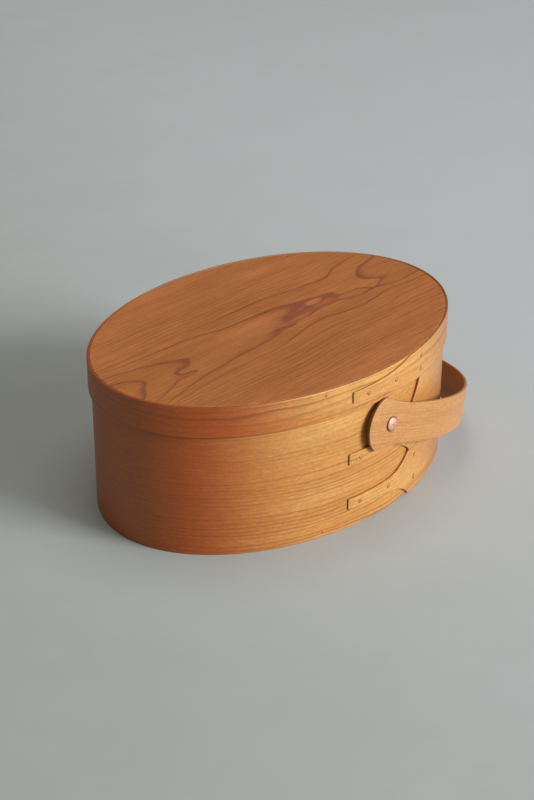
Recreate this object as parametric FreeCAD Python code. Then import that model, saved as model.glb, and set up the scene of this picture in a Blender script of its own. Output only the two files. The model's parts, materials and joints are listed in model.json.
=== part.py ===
import FreeCAD, Part
import math
import os
from FreeCAD import Vector

# An oval bentwood box with a lift-off lid and a swinging bail handle.
# Millimetres. The origin is the middle of the underside, +Z is up, +X is the long axis of the
# oval on the side where the handle rests, and -Y is the front, where the swallowtail laps are.

# ---------------------------------------------------------------- driving dimensions
# box
box_length = 224.2            # along X, over the single band
box_width = 158.0             # along Y, over the single band
total_height = 85.5           # underside of the box to the top of the closed lid
box_strip = 1.4               # thickness of the box's bent strip
base_thick = 5.5              # the base board, set flush inside the strip

# lid
lid_strip = 1.3               # thickness of the lid's bent strip
lid_depth = 17.0              # height of the lid's strip
lid_thick = 5.0               # the lid board, which rests on the box's rim
lid_clearance = 0.45          # between the box's strip and the lid's strip, all round
board_fit = 0.03              # between a board's edge and the strip bent round it

# the lap of each strip, measured along X from the middle of the front
lap_tip = -27.0               # where the fingers end
feather_start = 0.0           # where the end underneath starts to thin
feather_end = 38.0            # where the end underneath stops
feather_edge = 0.1            # thickness left at that end
glue_line = 0.04              # between the two layers
settle_run = 8.0              # beyond the feathered end, where the strip comes back to the board
tip_bevel = 3.0               # length of the bevel at a finger's tip
tip_share = 0.55              # of the strip's thickness, left at the tip

# fingers of the box
finger_tip = 6.5              # height of a finger at its tip
finger_shoulder = 7.9         # height of a finger where its edges start to sweep apart
finger_low = 14.05            # height of the lower finger's middle
finger_drop = 12.45           # from the rivets down to the upper finger's middle
arch_radius = 30.0            # of the arched gap's two sides
sweep_radius = 33.0           # of the top edge, which sweeps up under the lid

# finger of the lid
lid_finger_shoulder = 10.6    # height of the lid's finger at the middle of the front
lid_finger_root = 17.0        # where its edges meet the edges of the lid's strip, along X

# handle
pivot_drop = 15.5             # from the lid's lower edge down to the rivets
strap_width = 22.4
strap_thick = 1.7
pad_standoff = 2.1            # between the box's strip and the flat end of the handle
pad_reach = 18.3              # from the pivot to the end of the pad
pad_corner = -8.8             # the pad's widest place, along the strap from the pivot
pad_height = 30.2             # across the pad's two corners
pad_round = 2.0               # radius of those corners
neck_end = 16.0               # where the pad's waist has come down to the strap's width
joggle_start = 5.5            # the strap steps out over the lid's lap between here ...
joggle_end = 13.5             # ... and here
lap_gap = 0.35                # between the strap and the tacks on the lid's lap
leg_end = 26.0                # where the straight legs turn into the bow
bow_room = 24.7               # from the box's end to the outside of the bow
bow_power = 1.92              # 2 is half an ellipse, less is leaner at the shoulders
bow_flare = 0.2               # how much further out the lower edge of the bow leans, per mm
rest_gap = 0.25               # from the resting bow to what the box stands on

# copper
rivet_radius = 2.0
rivet_head_radius = 4.2
rivet_head_height = 1.3
rivet_tail_radius = 3.2
rivet_tail_height = 1.0
running_gap = 0.05            # round the shank
face_gap = 0.08               # between the pad and the head or the washer
washer_radius = 5.5
burr_radius = 4.2
burr_thick = 0.9
burr_gap = 0.12               # between a flat burr and the hollow side of the strip
tack_head_radius = 1.3
tack_head_height = 0.2
tack_seat = 0.03              # a head stands this far off the lap
tack_half = 0.5               # half the width of a tack's square shank
finger_tack = -19.5           # the tack near a finger's tip, along X
shoulder_tack = 2.2           # the next tack on the same finger
lid_finger_tack = -17.0
lid_shoulder_tack = 3.8
root_row = 28.6               # the row of tacks at the fingers' roots, along X
root_pitch = 13.7             # from tack to tack in that row
root_low = 7.2                # height of the row's lowest tack
root_count = 4
lid_root_pitch = 8.0          # from tack to tack at the lid's root row

# wooden pegs that hold the boards
peg_half = 0.6                # half the width of a peg
peg_length = 8.0
peg_count = 8

# ---------------------------------------------------------------- worked out
box_a = box_length / 2.0 - box_strip          # inside of the box's strip
box_b = box_width / 2.0 - box_strip
lid_a = box_length / 2.0 + lid_clearance      # inside of the lid's strip
lid_b = box_width / 2.0 + lid_clearance
lid_bottom = total_height - lid_depth
box_rim = total_height - lid_thick
lid_middle = total_height - lid_depth / 2.0
pivot_height = lid_bottom - pivot_drop        # of the rivets, above the underside
finger_high = pivot_height - finger_drop      # height of the upper finger's middle
finger_pitch = finger_high - finger_low       # from the lower finger's middle to the upper one's
bow_reach = box_length / 2.0 + bow_room       # from the pivot to the outside of the bow

band_face = box_width / 2.0                   # outside of the single strip, at the pivots
pad_inner = band_face + pad_standoff
pad_outer = pad_inner + strap_thick
lid_lap_face = lid_b + 2.0 * lid_strip + glue_line
leg_outer = lid_lap_face + tack_head_height + lap_gap + strap_thick
half_strap = strap_width / 2.0
low_reach = bow_reach + bow_flare * half_strap
tilt = math.asin((pivot_height - rest_gap) / math.hypot(low_reach, half_strap))
tilt = tilt - math.atan2(half_strap, low_reach)

ARC_DEGREES = 18.0            # of the oval that one circular arc covers
LAP_STEP = 6.0                # spacing of the points along a lap
HOLE_OVER = 2.0               # how far a hole's cutter stands out of the wall
LEG_POINTS = 13               # points along a leg
BOW_POINTS = 19               # points along half the bow


# ---------------------------------------------------------------- oval and lap helpers
def smooth(share):
    """Rise from 0 to 1 with level ends."""
    share = min(1.0, max(0.0, share))
    return share * share * (3.0 - 2.0 * share)


def oval_point(a, b, angle, offset):
    """A point on the oval grown by offset each way. Angle 0 is the middle of the front."""
    return Vector((a + offset) * math.sin(angle), -(b + offset) * math.cos(angle), 0.0)


def oval_normal(a, b, angle):
    """The outward normal of the oval."""
    normal = Vector(b * math.sin(angle), -a * math.cos(angle), 0.0)
    return normal.normalize()


def oval_arcs(a, b, offset, start, end):
    """The oval's edge from one angle on to another, in circular arcs, as a draughtsman lays it."""
    step = math.radians(ARC_DEGREES)
    stops = [start]
    stop = step / 2.0 + step * math.ceil((start - step / 2.0) / step)
    while stop < end:
        if stop - stops[-1] > step / 8.0:
            stops.append(stop)
        stop = stop + step
    stops.append(end)
    arcs = []
    for near, far in zip(stops, stops[1:]):
        points = [oval_point(a, b, angle, offset) for angle in (near, (near + far) / 2.0, far)]
        arcs.append(Part.Arc(*points).toShape())
    return arcs


def front_angle(a, x):
    """The oval's angle at x on the front."""
    return math.asin(x / a)


def feather(x, strip):
    """Thickness of the strip's inner end at x: whole under the fingers, then thinned."""
    run = smooth((x - feather_start) / (feather_end - feather_start))
    return strip + (feather_edge - strip) * run


def lap_inner(x, strip):
    """How far the outer layer lies off the board at x."""
    if x <= feather_end:
        return feather(x, strip) + glue_line
    return (feather_edge + glue_line) * (1.0 - smooth((x - feather_end) / settle_run))


def lap_face(x, strip):
    """How far the outside of the lap lies off the board at x."""
    return lap_inner(x, strip) + strip


def spline_through(points):
    """One smooth edge through the points."""
    curve = Part.BSplineCurve()
    curve.interpolate(points)
    return curve.toShape()


def upright(edges, bottom, top):
    """A closed outline carried straight up from one height to another."""
    low = Part.Wire(Part.__sortEdges__(edges))
    low.translate(Vector(0.0, 0.0, bottom))
    return Part.Face(low).extrude(Vector(0.0, 0.0, top - bottom))


def lap_points(a, b, start, end, offset_at):
    """Points along the front from start to end, off the board by offset_at(x)."""
    count = int(math.ceil((end - start) / LAP_STEP))
    points = []
    for i in range(count + 1):
        x = start + (end - start) * i / count
        points.append(oval_point(a, b, front_angle(a, x), offset_at(x)))
    return points


def wrapped_strip(a, b, strip, bottom, top):
    """A strip bent once round the oval, with its outer end lapped over its feathered inner end."""
    settled = feather_end + settle_run
    whole_turn = 2.0 * math.pi
    inner = lap_points(a, b, lap_tip, settled, lambda x: lap_inner(x, strip))
    outer = lap_points(a, b, lap_tip + tip_bevel, settled, lambda x: lap_face(x, strip))
    under = lap_points(a, b, feather_start, feather_end, lambda x: feather(x, strip))
    settled_angle = front_angle(a, settled)
    inner_arcs = oval_arcs(a, b, 0.0, settled_angle, whole_turn + front_angle(a, feather_end))
    outer_arcs = oval_arcs(a, b, strip, settled_angle, whole_turn + front_angle(a, feather_start))
    tip_angle = front_angle(a, lap_tip)
    tip = oval_point(a, b, tip_angle, lap_inner(lap_tip, strip) + strip * tip_share)
    end = oval_point(a, b, front_angle(a, feather_end), 0.0)
    edges = [spline_through(inner),
             Part.makeLine(end, under[-1]),
             spline_through(under),
             spline_through(outer),
             Part.makeLine(outer[0], tip),
             Part.makeLine(tip, inner[0])]
    return upright(edges + inner_arcs + outer_arcs, bottom, top)


def lap_zone(a, b, strip, bottom, top):
    """The space of the outer layer along the lap, from inside the glue line outwards."""
    start = lap_tip - tip_bevel
    near = lap_points(a, b, start, feather_end, lambda x: lap_inner(x, strip) - glue_line / 2.0)
    far = lap_points(a, b, start, feather_end, lambda x: lap_face(x, strip) + strip)
    edges = [spline_through(near),
             Part.makeLine(near[-1], far[-1]),
             spline_through(far),
             Part.makeLine(far[0], near[0])]
    return upright(edges, bottom, top)


def front_prism(edges):
    """A closed outline in the XZ plane, carried through the front of the box."""
    face = Part.Face(Part.Wire(Part.__sortEdges__(edges)))
    face.translate(Vector(0.0, -box_width, 0.0))
    return face.extrude(Vector(0.0, box_width, 0.0))


def at(x, z):
    return Vector(x, 0.0, z)


def arched_gap(middle, tip_half, root_half):
    """The gap between two fingers: nearly parallel sides, then two arcs that meet in a point."""
    start = lap_tip - tip_bevel
    apex = math.sqrt(arch_radius ** 2 - (arch_radius - root_half) ** 2)
    half_way = math.asin(apex / arch_radius) / 2.0
    bulge_x = arch_radius * math.sin(half_way)
    bulge_z = root_half - arch_radius * (1.0 - math.cos(half_way))
    lower = Part.Arc(at(0.0, middle - root_half), at(bulge_x, middle - bulge_z), at(apex, middle))
    upper = Part.Arc(at(apex, middle), at(bulge_x, middle + bulge_z), at(0.0, middle + root_half))
    return front_prism([Part.makeLine(at(start, middle - tip_half), at(0.0, middle - root_half)),
                        lower.toShape(),
                        upper.toShape(),
                        Part.makeLine(at(0.0, middle + root_half), at(start, middle + tip_half)),
                        Part.makeLine(at(start, middle + tip_half), at(start, middle - tip_half))])


def swept_gap(edge_tip, edge_root, top):
    """The gap over the upper finger, whose edge sweeps up under the lid."""
    start = lap_tip - tip_bevel
    above = top + sweep_radius
    turned = edge_root + sweep_radius
    half_x = sweep_radius * math.sin(math.pi / 4.0)
    half_z = edge_root + sweep_radius * (1.0 - math.cos(math.pi / 4.0))
    sweep = Part.Arc(at(0.0, edge_root), at(half_x, half_z), at(sweep_radius, turned))
    return front_prism([Part.makeLine(at(start, edge_tip), at(0.0, edge_root)),
                        sweep.toShape(),
                        Part.makeLine(at(sweep_radius, turned), at(sweep_radius, above)),
                        Part.makeLine(at(sweep_radius, above), at(start, above)),
                        Part.makeLine(at(start, above), at(start, edge_tip))])


def lid_gap(side):
    """The gap above (side 1) or below (side -1) the lid's one finger, bounded by a long arc."""
    start = lap_tip - tip_bevel
    tip_z = lid_middle + side * finger_tip / 2.0
    root_z = lid_middle + side * lid_finger_shoulder / 2.0
    edge_z = lid_middle + side * lid_depth / 2.0
    beyond = edge_z + side * lid_depth
    edge = Part.Arc(at(start, tip_z), at(0.0, root_z), at(lid_finger_root, edge_z))
    return front_prism([edge.toShape(),
                        Part.makeLine(at(lid_finger_root, edge_z), at(lid_finger_root, beyond)),
                        Part.makeLine(at(lid_finger_root, beyond), at(start, beyond)),
                        Part.makeLine(at(start, beyond), at(start, tip_z))])


def oval_board(a, b, bottom, thick):
    """An oval board that fills a strip whose inside is a by b."""
    start = math.radians(ARC_DEGREES / 2.0)
    arcs = oval_arcs(a, b, -board_fit, start, start + 2.0 * math.pi)
    return upright(arcs, bottom, bottom + thick)


# ---------------------------------------------------------------- fastenings
def turned(profile, place, outward):
    """Revolve a (radius, height) outline about its own axis and stand it on place, outward."""
    points = [Vector(r, 0.0, h) for r, h in profile]
    solid = Part.Face(Part.makePolygon(points + [points[0]]))
    solid = solid.revolve(Vector(0.0, 0.0, 0.0), Vector(0.0, 0.0, 1.0), 360.0)
    turn = FreeCAD.Rotation(Vector(0.0, 0.0, 1.0), outward)
    solid.Placement = FreeCAD.Placement(place, turn)
    return Part.Solid(solid) if solid.ShapeType == "Shell" else solid


def dome(radius, height, base, steps):
    """The points of a low dome from its rim up to its crown."""
    crown = (radius * radius + height * height) / (2.0 * height)
    points = []
    for i in range(steps):
        r = radius * (1.0 - float(i) / steps)
        points.append((r, base + math.sqrt(crown * crown - r * r) - (crown - height)))
    return points + [(0.0, base + height)]


def square_bar(half, face, outward, above, below):
    """A square bar across face, from above it to below it."""
    side = Vector(-outward.y, outward.x, 0.0) * half
    rise = Vector(0.0, 0.0, half)
    start = face + outward * above
    corners = [start + side + rise, start - side + rise, start - side - rise, start + side - rise]
    end = Part.Face(Part.makePolygon(corners + [corners[0]]))
    return end.extrude(outward * -(above + below))


def lap_normal(a, b, strip, x):
    """The outward normal of the lap's face at x."""
    near, far = [oval_point(a, b, front_angle(a, near_x), lap_face(near_x, strip))
                 for near_x in (x - tack_head_radius, x + tack_head_radius)]
    along = far - near
    return Vector(along.y, -along.x, 0.0).normalize()


def tack_place(a, b, strip, x, z):
    """Where a tack enters the lap at x, and the lap's outward normal there."""
    face = oval_point(a, b, front_angle(a, x), lap_face(x, strip)) + Vector(0.0, 0.0, z)
    return face, lap_normal(a, b, strip, x)


def tack(a, b, strip, x, z):
    """A small copper tack with a square shank, driven through both layers of a lap."""
    face, outward = tack_place(a, b, strip, x, z)
    head = turned([(0.0, tack_seat)] + dome(tack_head_radius, tack_head_height, tack_seat, 2),
                  face, outward)
    shank = square_bar(tack_half, face, outward, tack_seat, lap_face(x, strip))
    return head.fuse(shank).removeSplitter()


def tack_hole(a, b, strip, x, z):
    """The hole for a tack, right through the lap."""
    face, outward = tack_place(a, b, strip, x, z)
    return square_bar(tack_half, face, outward, HOLE_OVER, lap_face(x, strip) + HOLE_OVER)


def peg_places(a, b, strip, z):
    """Where the pegs enter the strip, evenly spaced round the oval, each with its outward normal."""
    angles = [2.0 * math.pi * (i + 0.5) / peg_count for i in range(peg_count)]
    return [(oval_point(a, b, angle, strip) + Vector(0.0, 0.0, z), oval_normal(a, b, angle))
            for angle in angles]


def pegs(a, b, strip, z):
    """The split wooden pegs that hold a board inside its strip, flush with the strip."""
    return Part.makeCompound([square_bar(peg_half, face, outward, 0.0, peg_length)
                              for face, outward in peg_places(a, b, strip, z)])


def peg_holes(a, b, strip, z):
    """The holes for the pegs, through the strip and on into the board."""
    return [square_bar(peg_half, face, outward, HOLE_OVER, peg_length)
            for face, outward in peg_places(a, b, strip, z)]


def rivet(side):
    """A copper rivet: domed head, shank through the pad and the strip, and a peened tail."""
    head_base = pad_outer + face_gap
    tail_base = box_b - burr_gap - burr_thick
    shank = head_base - tail_base
    tail = [(r, -shank - h) for r, h in dome(rivet_tail_radius, rivet_tail_height, 0.0, 2)]
    profile = tail[::-1] + [(rivet_radius, -shank), (rivet_radius, 0.0)]
    profile = profile + dome(rivet_head_radius, rivet_head_height, 0.0, 4)
    return turned(profile, Vector(0.0, side * head_base, pivot_height), Vector(0.0, side, 0.0))


def ring(radius, start, end, side):
    """A copper ring on a rivet's shank, between two distances from the box's middle."""
    place = Vector(0.0, side * start, pivot_height)
    along = Vector(0.0, side, 0.0)
    disc = Part.makeCylinder(radius, end - start, place, along)
    hole = Part.makeCylinder(rivet_radius + running_gap, end - start, place, along)
    return disc.cut(hole)


def pivot_hole(side):
    """The hole for a rivet's shank, through the strip and the pad."""
    place = Vector(0.0, 0.0, pivot_height)
    return Part.makeCylinder(rivet_radius + running_gap, box_width, place, Vector(0.0, side, 0.0))


# ---------------------------------------------------------------- handle
def leg_line(outer, start, end):
    """Points down one leg from the pad's end, with the step outwards over the lid's lap."""
    points = []
    for i in range(LEG_POINTS):
        u = start + (end - start) * i / (LEG_POINTS - 1.0)
        step = smooth((u - joggle_start) / (joggle_end - joggle_start))
        points.append((u, outer - (leg_outer - pad_outer) * (1.0 - step)))
    return points


def bow_line(outer, reach):
    """Points along half the bow, from the end of a leg to the crown."""
    points = []
    for i in range(1, BOW_POINTS):
        angle = math.pi / 2.0 * i / (BOW_POINTS - 1.0)
        size = math.cos(angle) ** bow_power + math.sin(angle) ** bow_power
        radius = size ** (-1.0 / bow_power)
        u = leg_end + (reach - leg_end) * radius * math.sin(angle)
        points.append((u, outer * radius * math.cos(angle)))
    return points


def bail_section(v):
    """The handle's plan at height v across the strap: one bent strip of even thickness."""
    reach = bow_reach - bow_flare * v
    start = -pad_reach - strap_thick
    edges = []
    ends = []
    for inset in (0.0, strap_thick):
        half = leg_line(leg_outer - inset, start, leg_end) + bow_line(leg_outer - inset, reach - inset)
        half[-1] = (reach - inset, 0.0)
        front = [Vector(u, -y, v) for u, y in half]
        back = [Vector(u, y, v) for u, y in half[-2::-1]]
        edges.append(spline_through(front + back))
        ends.append((front[0], back[-1]))
    edges.insert(1, Part.makeLine(ends[0][1], ends[1][1]))
    edges.append(Part.makeLine(ends[0][0], ends[1][0]))
    return Part.Wire(Part.__sortEdges__(edges))


def handle_outline():
    """The handle seen from the side: an axe-shaped pad, a waist, then the strap's even width."""
    half_pad = pad_height / 2.0
    rise = half_pad - half_strap
    run = neck_end - pad_corner
    waist = (run * run + rise * rise) / (2.0 * rise)
    half_way = math.asin(run / waist) / 2.0
    waist_u = neck_end - waist * math.sin(half_way)
    waist_v = half_strap + waist * (1.0 - math.cos(half_way))
    beyond = low_reach + half_pad
    end = Part.Arc(at(pad_corner, half_pad), at(-pad_reach, 0.0), at(pad_corner, -half_pad))
    low = Part.Arc(at(pad_corner, -half_pad), at(waist_u, -waist_v), at(neck_end, -half_strap))
    high = Part.Arc(at(neck_end, half_strap), at(waist_u, waist_v), at(pad_corner, half_pad))
    wire = Part.Wire([end.toShape(),
                      low.toShape(),
                      Part.makeLine(at(neck_end, -half_strap), at(beyond, -half_strap)),
                      Part.makeLine(at(beyond, -half_strap), at(beyond, half_strap)),
                      Part.makeLine(at(beyond, half_strap), at(neck_end, half_strap)),
                      high.toShape()])
    blank = Part.Face(wire)
    blank.translate(Vector(0.0, -box_width, 0.0))
    blank = blank.extrude(Vector(0.0, 2.0 * box_width, 0.0))
    corners = [edge for edge in blank.Edges
               if abs(edge.CenterOfMass.x - pad_corner) < 0.01
               and abs(abs(edge.CenterOfMass.z) - half_pad) < 0.01]
    return blank.makeFillet(pad_round, corners)


def make_handle():
    """The bail at rest, with its bow just off what the box stands on."""
    beyond = pad_height / 2.0 + pad_round
    bail = Part.makeLoft([bail_section(-beyond), bail_section(beyond)], True, True)
    bail = bail.common(handle_outline())
    drill = Part.makeCylinder(rivet_radius + running_gap, 2.0 * box_width,
                              Vector(0.0, -box_width, 0.0), Vector(0.0, 1.0, 0.0))
    bail = bail.cut(drill)
    bail.rotate(Vector(0.0, 0.0, 0.0), Vector(0.0, 1.0, 0.0), math.degrees(tilt))
    bail.translate(Vector(0.0, 0.0, pivot_height))
    return bail


# ---------------------------------------------------------------- the pieces
def make_box_band(holes):
    """The box's strip, with its fingers cut from the outer layer and its holes drilled."""
    band = wrapped_strip(box_a, box_b, box_strip, 0.0, box_rim)
    tip_half = (finger_pitch - finger_tip) / 2.0
    root_half = (finger_pitch - finger_shoulder) / 2.0
    zone = lap_zone(box_a, box_b, box_strip, -box_strip, box_rim + box_strip)
    gaps = [arched_gap(0.0, finger_low - finger_tip / 2.0, finger_low - finger_shoulder / 2.0),
            arched_gap((finger_low + finger_high) / 2.0, tip_half, root_half),
            swept_gap(finger_high + finger_tip / 2.0, finger_high + finger_shoulder / 2.0, box_rim)]
    for gap in gaps:
        band = band.cut(gap.common(zone))
    return band.cut([pivot_hole(-1.0), pivot_hole(1.0)] + holes)


def make_lid_band(holes):
    """The lid's strip, with its one finger."""
    band = wrapped_strip(lid_a, lid_b, lid_strip, lid_bottom, total_height)
    zone = lap_zone(lid_a, lid_b, lid_strip, lid_bottom - lid_strip, total_height + lid_strip)
    for side in (-1.0, 1.0):
        band = band.cut(lid_gap(side).common(zone))
    return band.cut(holes)


def tack_group(a, b, strip, places):
    return Part.makeCompound([tack(a, b, strip, x, z) for x, z in places])


def make_box():
    """The box's own pieces."""
    made = {}
    fingers = [(x, z) for z in (finger_low, finger_high) for x in (finger_tack, shoulder_tack)]
    roots = [(root_row, root_low + i * root_pitch) for i in range(root_count)]
    peg_height = base_thick / 2.0
    peg_drills = peg_holes(box_a, box_b, box_strip, peg_height)
    tack_drills = [tack_hole(box_a, box_b, box_strip, x, z) for x, z in fingers + roots]
    made["base_board"] = oval_board(box_a, box_b, 0.0, base_thick).cut(peg_drills)
    made["box_band"] = make_box_band(tack_drills + peg_drills)
    made["base_pegs"] = pegs(box_a, box_b, box_strip, peg_height)
    made["box_finger_tacks"] = tack_group(box_a, box_b, box_strip, fingers)
    made["box_root_tacks"] = tack_group(box_a, box_b, box_strip, roots)
    return made


def make_lid():
    """The lid's own pieces."""
    made = {}
    fingers = [(lid_finger_tack, lid_middle), (lid_shoulder_tack, lid_middle)]
    roots = [(root_row, lid_middle + side * lid_root_pitch / 2.0) for side in (-1.0, 1.0)]
    peg_height = total_height - lid_thick / 2.0
    peg_drills = peg_holes(lid_a, lid_b, lid_strip, peg_height)
    tack_drills = [tack_hole(lid_a, lid_b, lid_strip, x, z) for x, z in fingers + roots]
    made["lid_board"] = oval_board(lid_a, lid_b, box_rim, lid_thick).cut(peg_drills)
    made["lid_band"] = make_lid_band(tack_drills + peg_drills)
    made["lid_pegs"] = pegs(lid_a, lid_b, lid_strip, peg_height)
    made["lid_finger_tacks"] = tack_group(lid_a, lid_b, lid_strip, fingers)
    made["lid_root_tacks"] = tack_group(lid_a, lid_b, lid_strip, roots)
    return made


def make_pivots():
    """The rivets that carry the handle, each with its washer and its burr."""
    made = {}
    burr_face = box_b - burr_gap
    for name, side in (("front", -1.0), ("back", 1.0)):
        made["rivet_" + name] = rivet(side)
        made["washer_" + name] = ring(washer_radius, band_face, pad_inner - face_gap, side)
        made["burr_" + name] = ring(burr_radius, burr_face - burr_thick, burr_face, side)
    return made


def build():
    """Every piece by its node's name."""
    made = make_box()
    made.update(make_lid())
    made["handle"] = make_handle()
    made.update(make_pivots())
    return made


os.makedirs("parts", exist_ok=True)
for node, shape in build().items():
    shape.exportStep("parts/" + node + ".step")
    print(node, "solids", len(shape.Solids), "volume mm3", round(shape.Volume, 1), "valid", shape.isValid())
print("handle tilt at rest, degrees", round(math.degrees(tilt), 3))
print("leg outside, pad outside, mm", round(leg_outer, 2), round(pad_outer, 2))
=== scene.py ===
# %% [markdown]
# # An oval bentwood box, cut flat and then bent
#
# This lesson finishes a small lidded box in Blender. Its exact solids come from a CAD model, and
# here each visible piece gets the surface, the edges and the wood that it has on the bench.
# A maker cuts a thin strip of cherry flat, fingers and all, softens it in hot water and wraps it
# round a form. The mesh is made in the same order: a flat blank first, and then a Geometry Nodes
# tree that bends it along its form.

# %% Load the exact solids as a fixed frame
import json
import math
import bpy
import numpy as np
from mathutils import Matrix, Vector, geometry

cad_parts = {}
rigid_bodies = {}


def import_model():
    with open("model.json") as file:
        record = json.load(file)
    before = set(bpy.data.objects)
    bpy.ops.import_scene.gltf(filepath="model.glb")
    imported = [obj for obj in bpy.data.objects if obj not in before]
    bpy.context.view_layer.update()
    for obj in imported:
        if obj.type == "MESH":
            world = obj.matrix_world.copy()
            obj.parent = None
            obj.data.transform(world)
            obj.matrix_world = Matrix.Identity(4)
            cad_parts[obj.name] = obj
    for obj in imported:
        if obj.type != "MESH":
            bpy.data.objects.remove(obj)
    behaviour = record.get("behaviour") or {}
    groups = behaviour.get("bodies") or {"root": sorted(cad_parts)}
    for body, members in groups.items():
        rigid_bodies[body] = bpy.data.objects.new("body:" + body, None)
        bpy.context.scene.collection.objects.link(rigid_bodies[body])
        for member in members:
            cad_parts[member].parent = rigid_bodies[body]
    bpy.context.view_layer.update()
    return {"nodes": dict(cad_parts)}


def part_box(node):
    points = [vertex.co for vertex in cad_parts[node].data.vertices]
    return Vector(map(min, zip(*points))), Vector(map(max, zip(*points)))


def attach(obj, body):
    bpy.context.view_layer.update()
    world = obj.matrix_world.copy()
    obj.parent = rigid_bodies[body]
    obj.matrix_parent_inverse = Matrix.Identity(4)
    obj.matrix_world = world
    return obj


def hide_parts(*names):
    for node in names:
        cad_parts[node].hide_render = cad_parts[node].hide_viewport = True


for leftover in list(bpy.data.objects):
    bpy.data.objects.remove(leftover)
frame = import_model()

# %% [markdown]
# ## Sizes
#
# All sizes are in millimetres here, as they are on the maker's drawing, and become metres at the
# moment a mesh is made. They repeat the CAD model's values, so that a bent strip lands exactly
# where its solid is.

# %% Sizes of the box, the lid and the lap
MM = 0.001
TOTAL_HEIGHT = 85.5
BOX_RIM = 80.5                     # top of the box's strip, and underside of the lid's board
LID_BOTTOM = 68.5
PIVOT_HEIGHT = 53.0
BOX_OVAL = (110.7, 77.6)           # half length and half width inside the box's strip
LID_OVAL = (112.55, 79.45)         # and inside the lid's strip
BOX_STRIP = 1.4                    # thickness of the box's strip
LID_STRIP = 1.3
GLUE_LINE = 0.04
LAP_TIP = -27.0                    # where the fingers end, along the front
FEATHER = (0.0, 38.0)              # where the end underneath starts to thin, and where it stops
FEATHER_EDGE = 0.1                 # its thickness there
SETTLE_RUN = 8.0                   # past the lap, the strip comes down to the oval over this run
TIP_BEVEL = 3.0                    # a finger's tip is bevelled over this length
TIP_SHARE = 0.55                   # to this share of the strip's thickness
WHOLE_TURN = 2.0 * math.pi


def smooth(share):
    """Rise from 0 to 1 with level ends."""
    share = min(1.0, max(0.0, share))
    return share * share * (3.0 - 2.0 * share)


def blend_between(low, high, share):
    """The value a share of the way from low to high."""
    return low + (high - low) * share


for node in ("box_band", "lid_band", "handle"):
    low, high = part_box(node)
    print(node, "mm", [round(v / MM, 1) for v in low], [round(v / MM, 1) for v in high])

# %% [markdown]
# ## Colours and nodes
#
# Colours are written as sRGB hex values, the way a paint chart gives them, and one function turns
# them into the linear values that shaders take. Another adds one node with its settings and its
# inputs, so that a material or a geometry tree reads as a list of what it does.

# %% Colours and nodes
def linear(hex_colour):
    """An sRGB hex value as a linear colour."""
    parts = [int(hex_colour[i:i + 2], 16) / 255.0 for i in (1, 3, 5)]
    parts = [p / 12.92 if p <= 0.04045 else ((p + 0.055) / 1.055) ** 2.4 for p in parts]
    return (*parts, 1.0)


def connect(tree, node, inputs):
    """Fill a node's inputs. Each is a value, a hex colour, a socket, or a node, which stands for
    its first output that is in use."""
    for key, value in inputs.items():
        if isinstance(value, bpy.types.Node):
            value = next(socket for socket in value.outputs if socket.enabled)
        if isinstance(value, bpy.types.NodeSocket):
            tree.links.new(value, node.inputs[key])
        elif isinstance(value, str) and value.startswith("#"):
            node.inputs[key].default_value = linear(value)
        else:
            node.inputs[key].default_value = value


def add(tree, kind, inputs=None, **settings):
    """Add one node with its settings, and fill its inputs."""
    node = tree.nodes.new(kind)
    for name, value in settings.items():
        setattr(node, name, value)
    connect(tree, node, inputs or {})
    return node


def new_material(name):
    """An empty node material, with its tree and its shader."""
    material = bpy.data.materials.new(name)
    material.use_nodes = True
    tree = material.node_tree
    return material, tree, tree.nodes["Principled BSDF"]


print("bright copper in linear light", [round(c, 3) for c in linear("#f1c8b6")])

# %% [markdown]
# ## Bent cherry: the strips
#
# The strips are American black cherry, sliced about 1.4 mm thick, sanded and oiled. On a strip the
# year rings run nearly parallel to its edges, so it shows fine darker lines along its length, with
# a few stronger ones. Pale flecks lie between them where rays are cut, and the pores are hair-fine
# dashes. An image texture would repeat and stretch, so nodes draw the wood. The pattern follows
# the strip, not the room, so the material reads an attribute named "grain" that holds the distance
# along the flat strip, the height on it and the depth in it. The colour is built up in the order
# in which wood is: ground tone, rings, fibres, then pores. Some of these steps serve the boards
# too, and they come first.

# %% Patterns that all the cherry shares
def stretched_noise(tree, place, waves, detail):
    """Noise with this many waves in one unit of place: along, across and through the wood."""
    spot = add(tree, "ShaderNodeVectorMath", {0: place, 1: waves}, operation="MULTIPLY")
    return add(tree, "ShaderNodeTexNoise", {"Vector": spot, "Scale": 1.0, "Detail": detail})


def toned_noise(tree, place, waves, detail, low, high, start=0.0, end=1.0):
    """Stretched noise as it is, and the tone from start to end that it gives from low to high."""
    noise = stretched_noise(tree, place, waves, detail)
    return noise, add(tree, "ShaderNodeMapRange", {0: noise, 1: low, 2: high, 3: start, 4: end})


def shape_curve(node, points):
    """Lead a curve node's line through points, each as (share of the way, height)."""
    curve = node.mapping.curves[0]
    for point in points[1:-1]:
        curve.points.new(*point)
    curve.points[0].location = points[0]
    curve.points[-1].location = points[-1]
    node.mapping.update()


def years(tree, rings, weakest, strongest):
    """Split a count of rings into the share of its year that has passed and a strength that
    changes from year to year only."""
    share = add(tree, "ShaderNodeMath", {0: rings}, operation="FRACT")
    year = add(tree, "ShaderNodeMath", {0: rings}, operation="FLOOR")
    chance = add(tree, "ShaderNodeTexWhiteNoise", {"W": year}, noise_dimensions="1D")
    return share, add(tree, "ShaderNodeMapRange", {0: chance, 3: weakest, 4: strongest})


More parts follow.
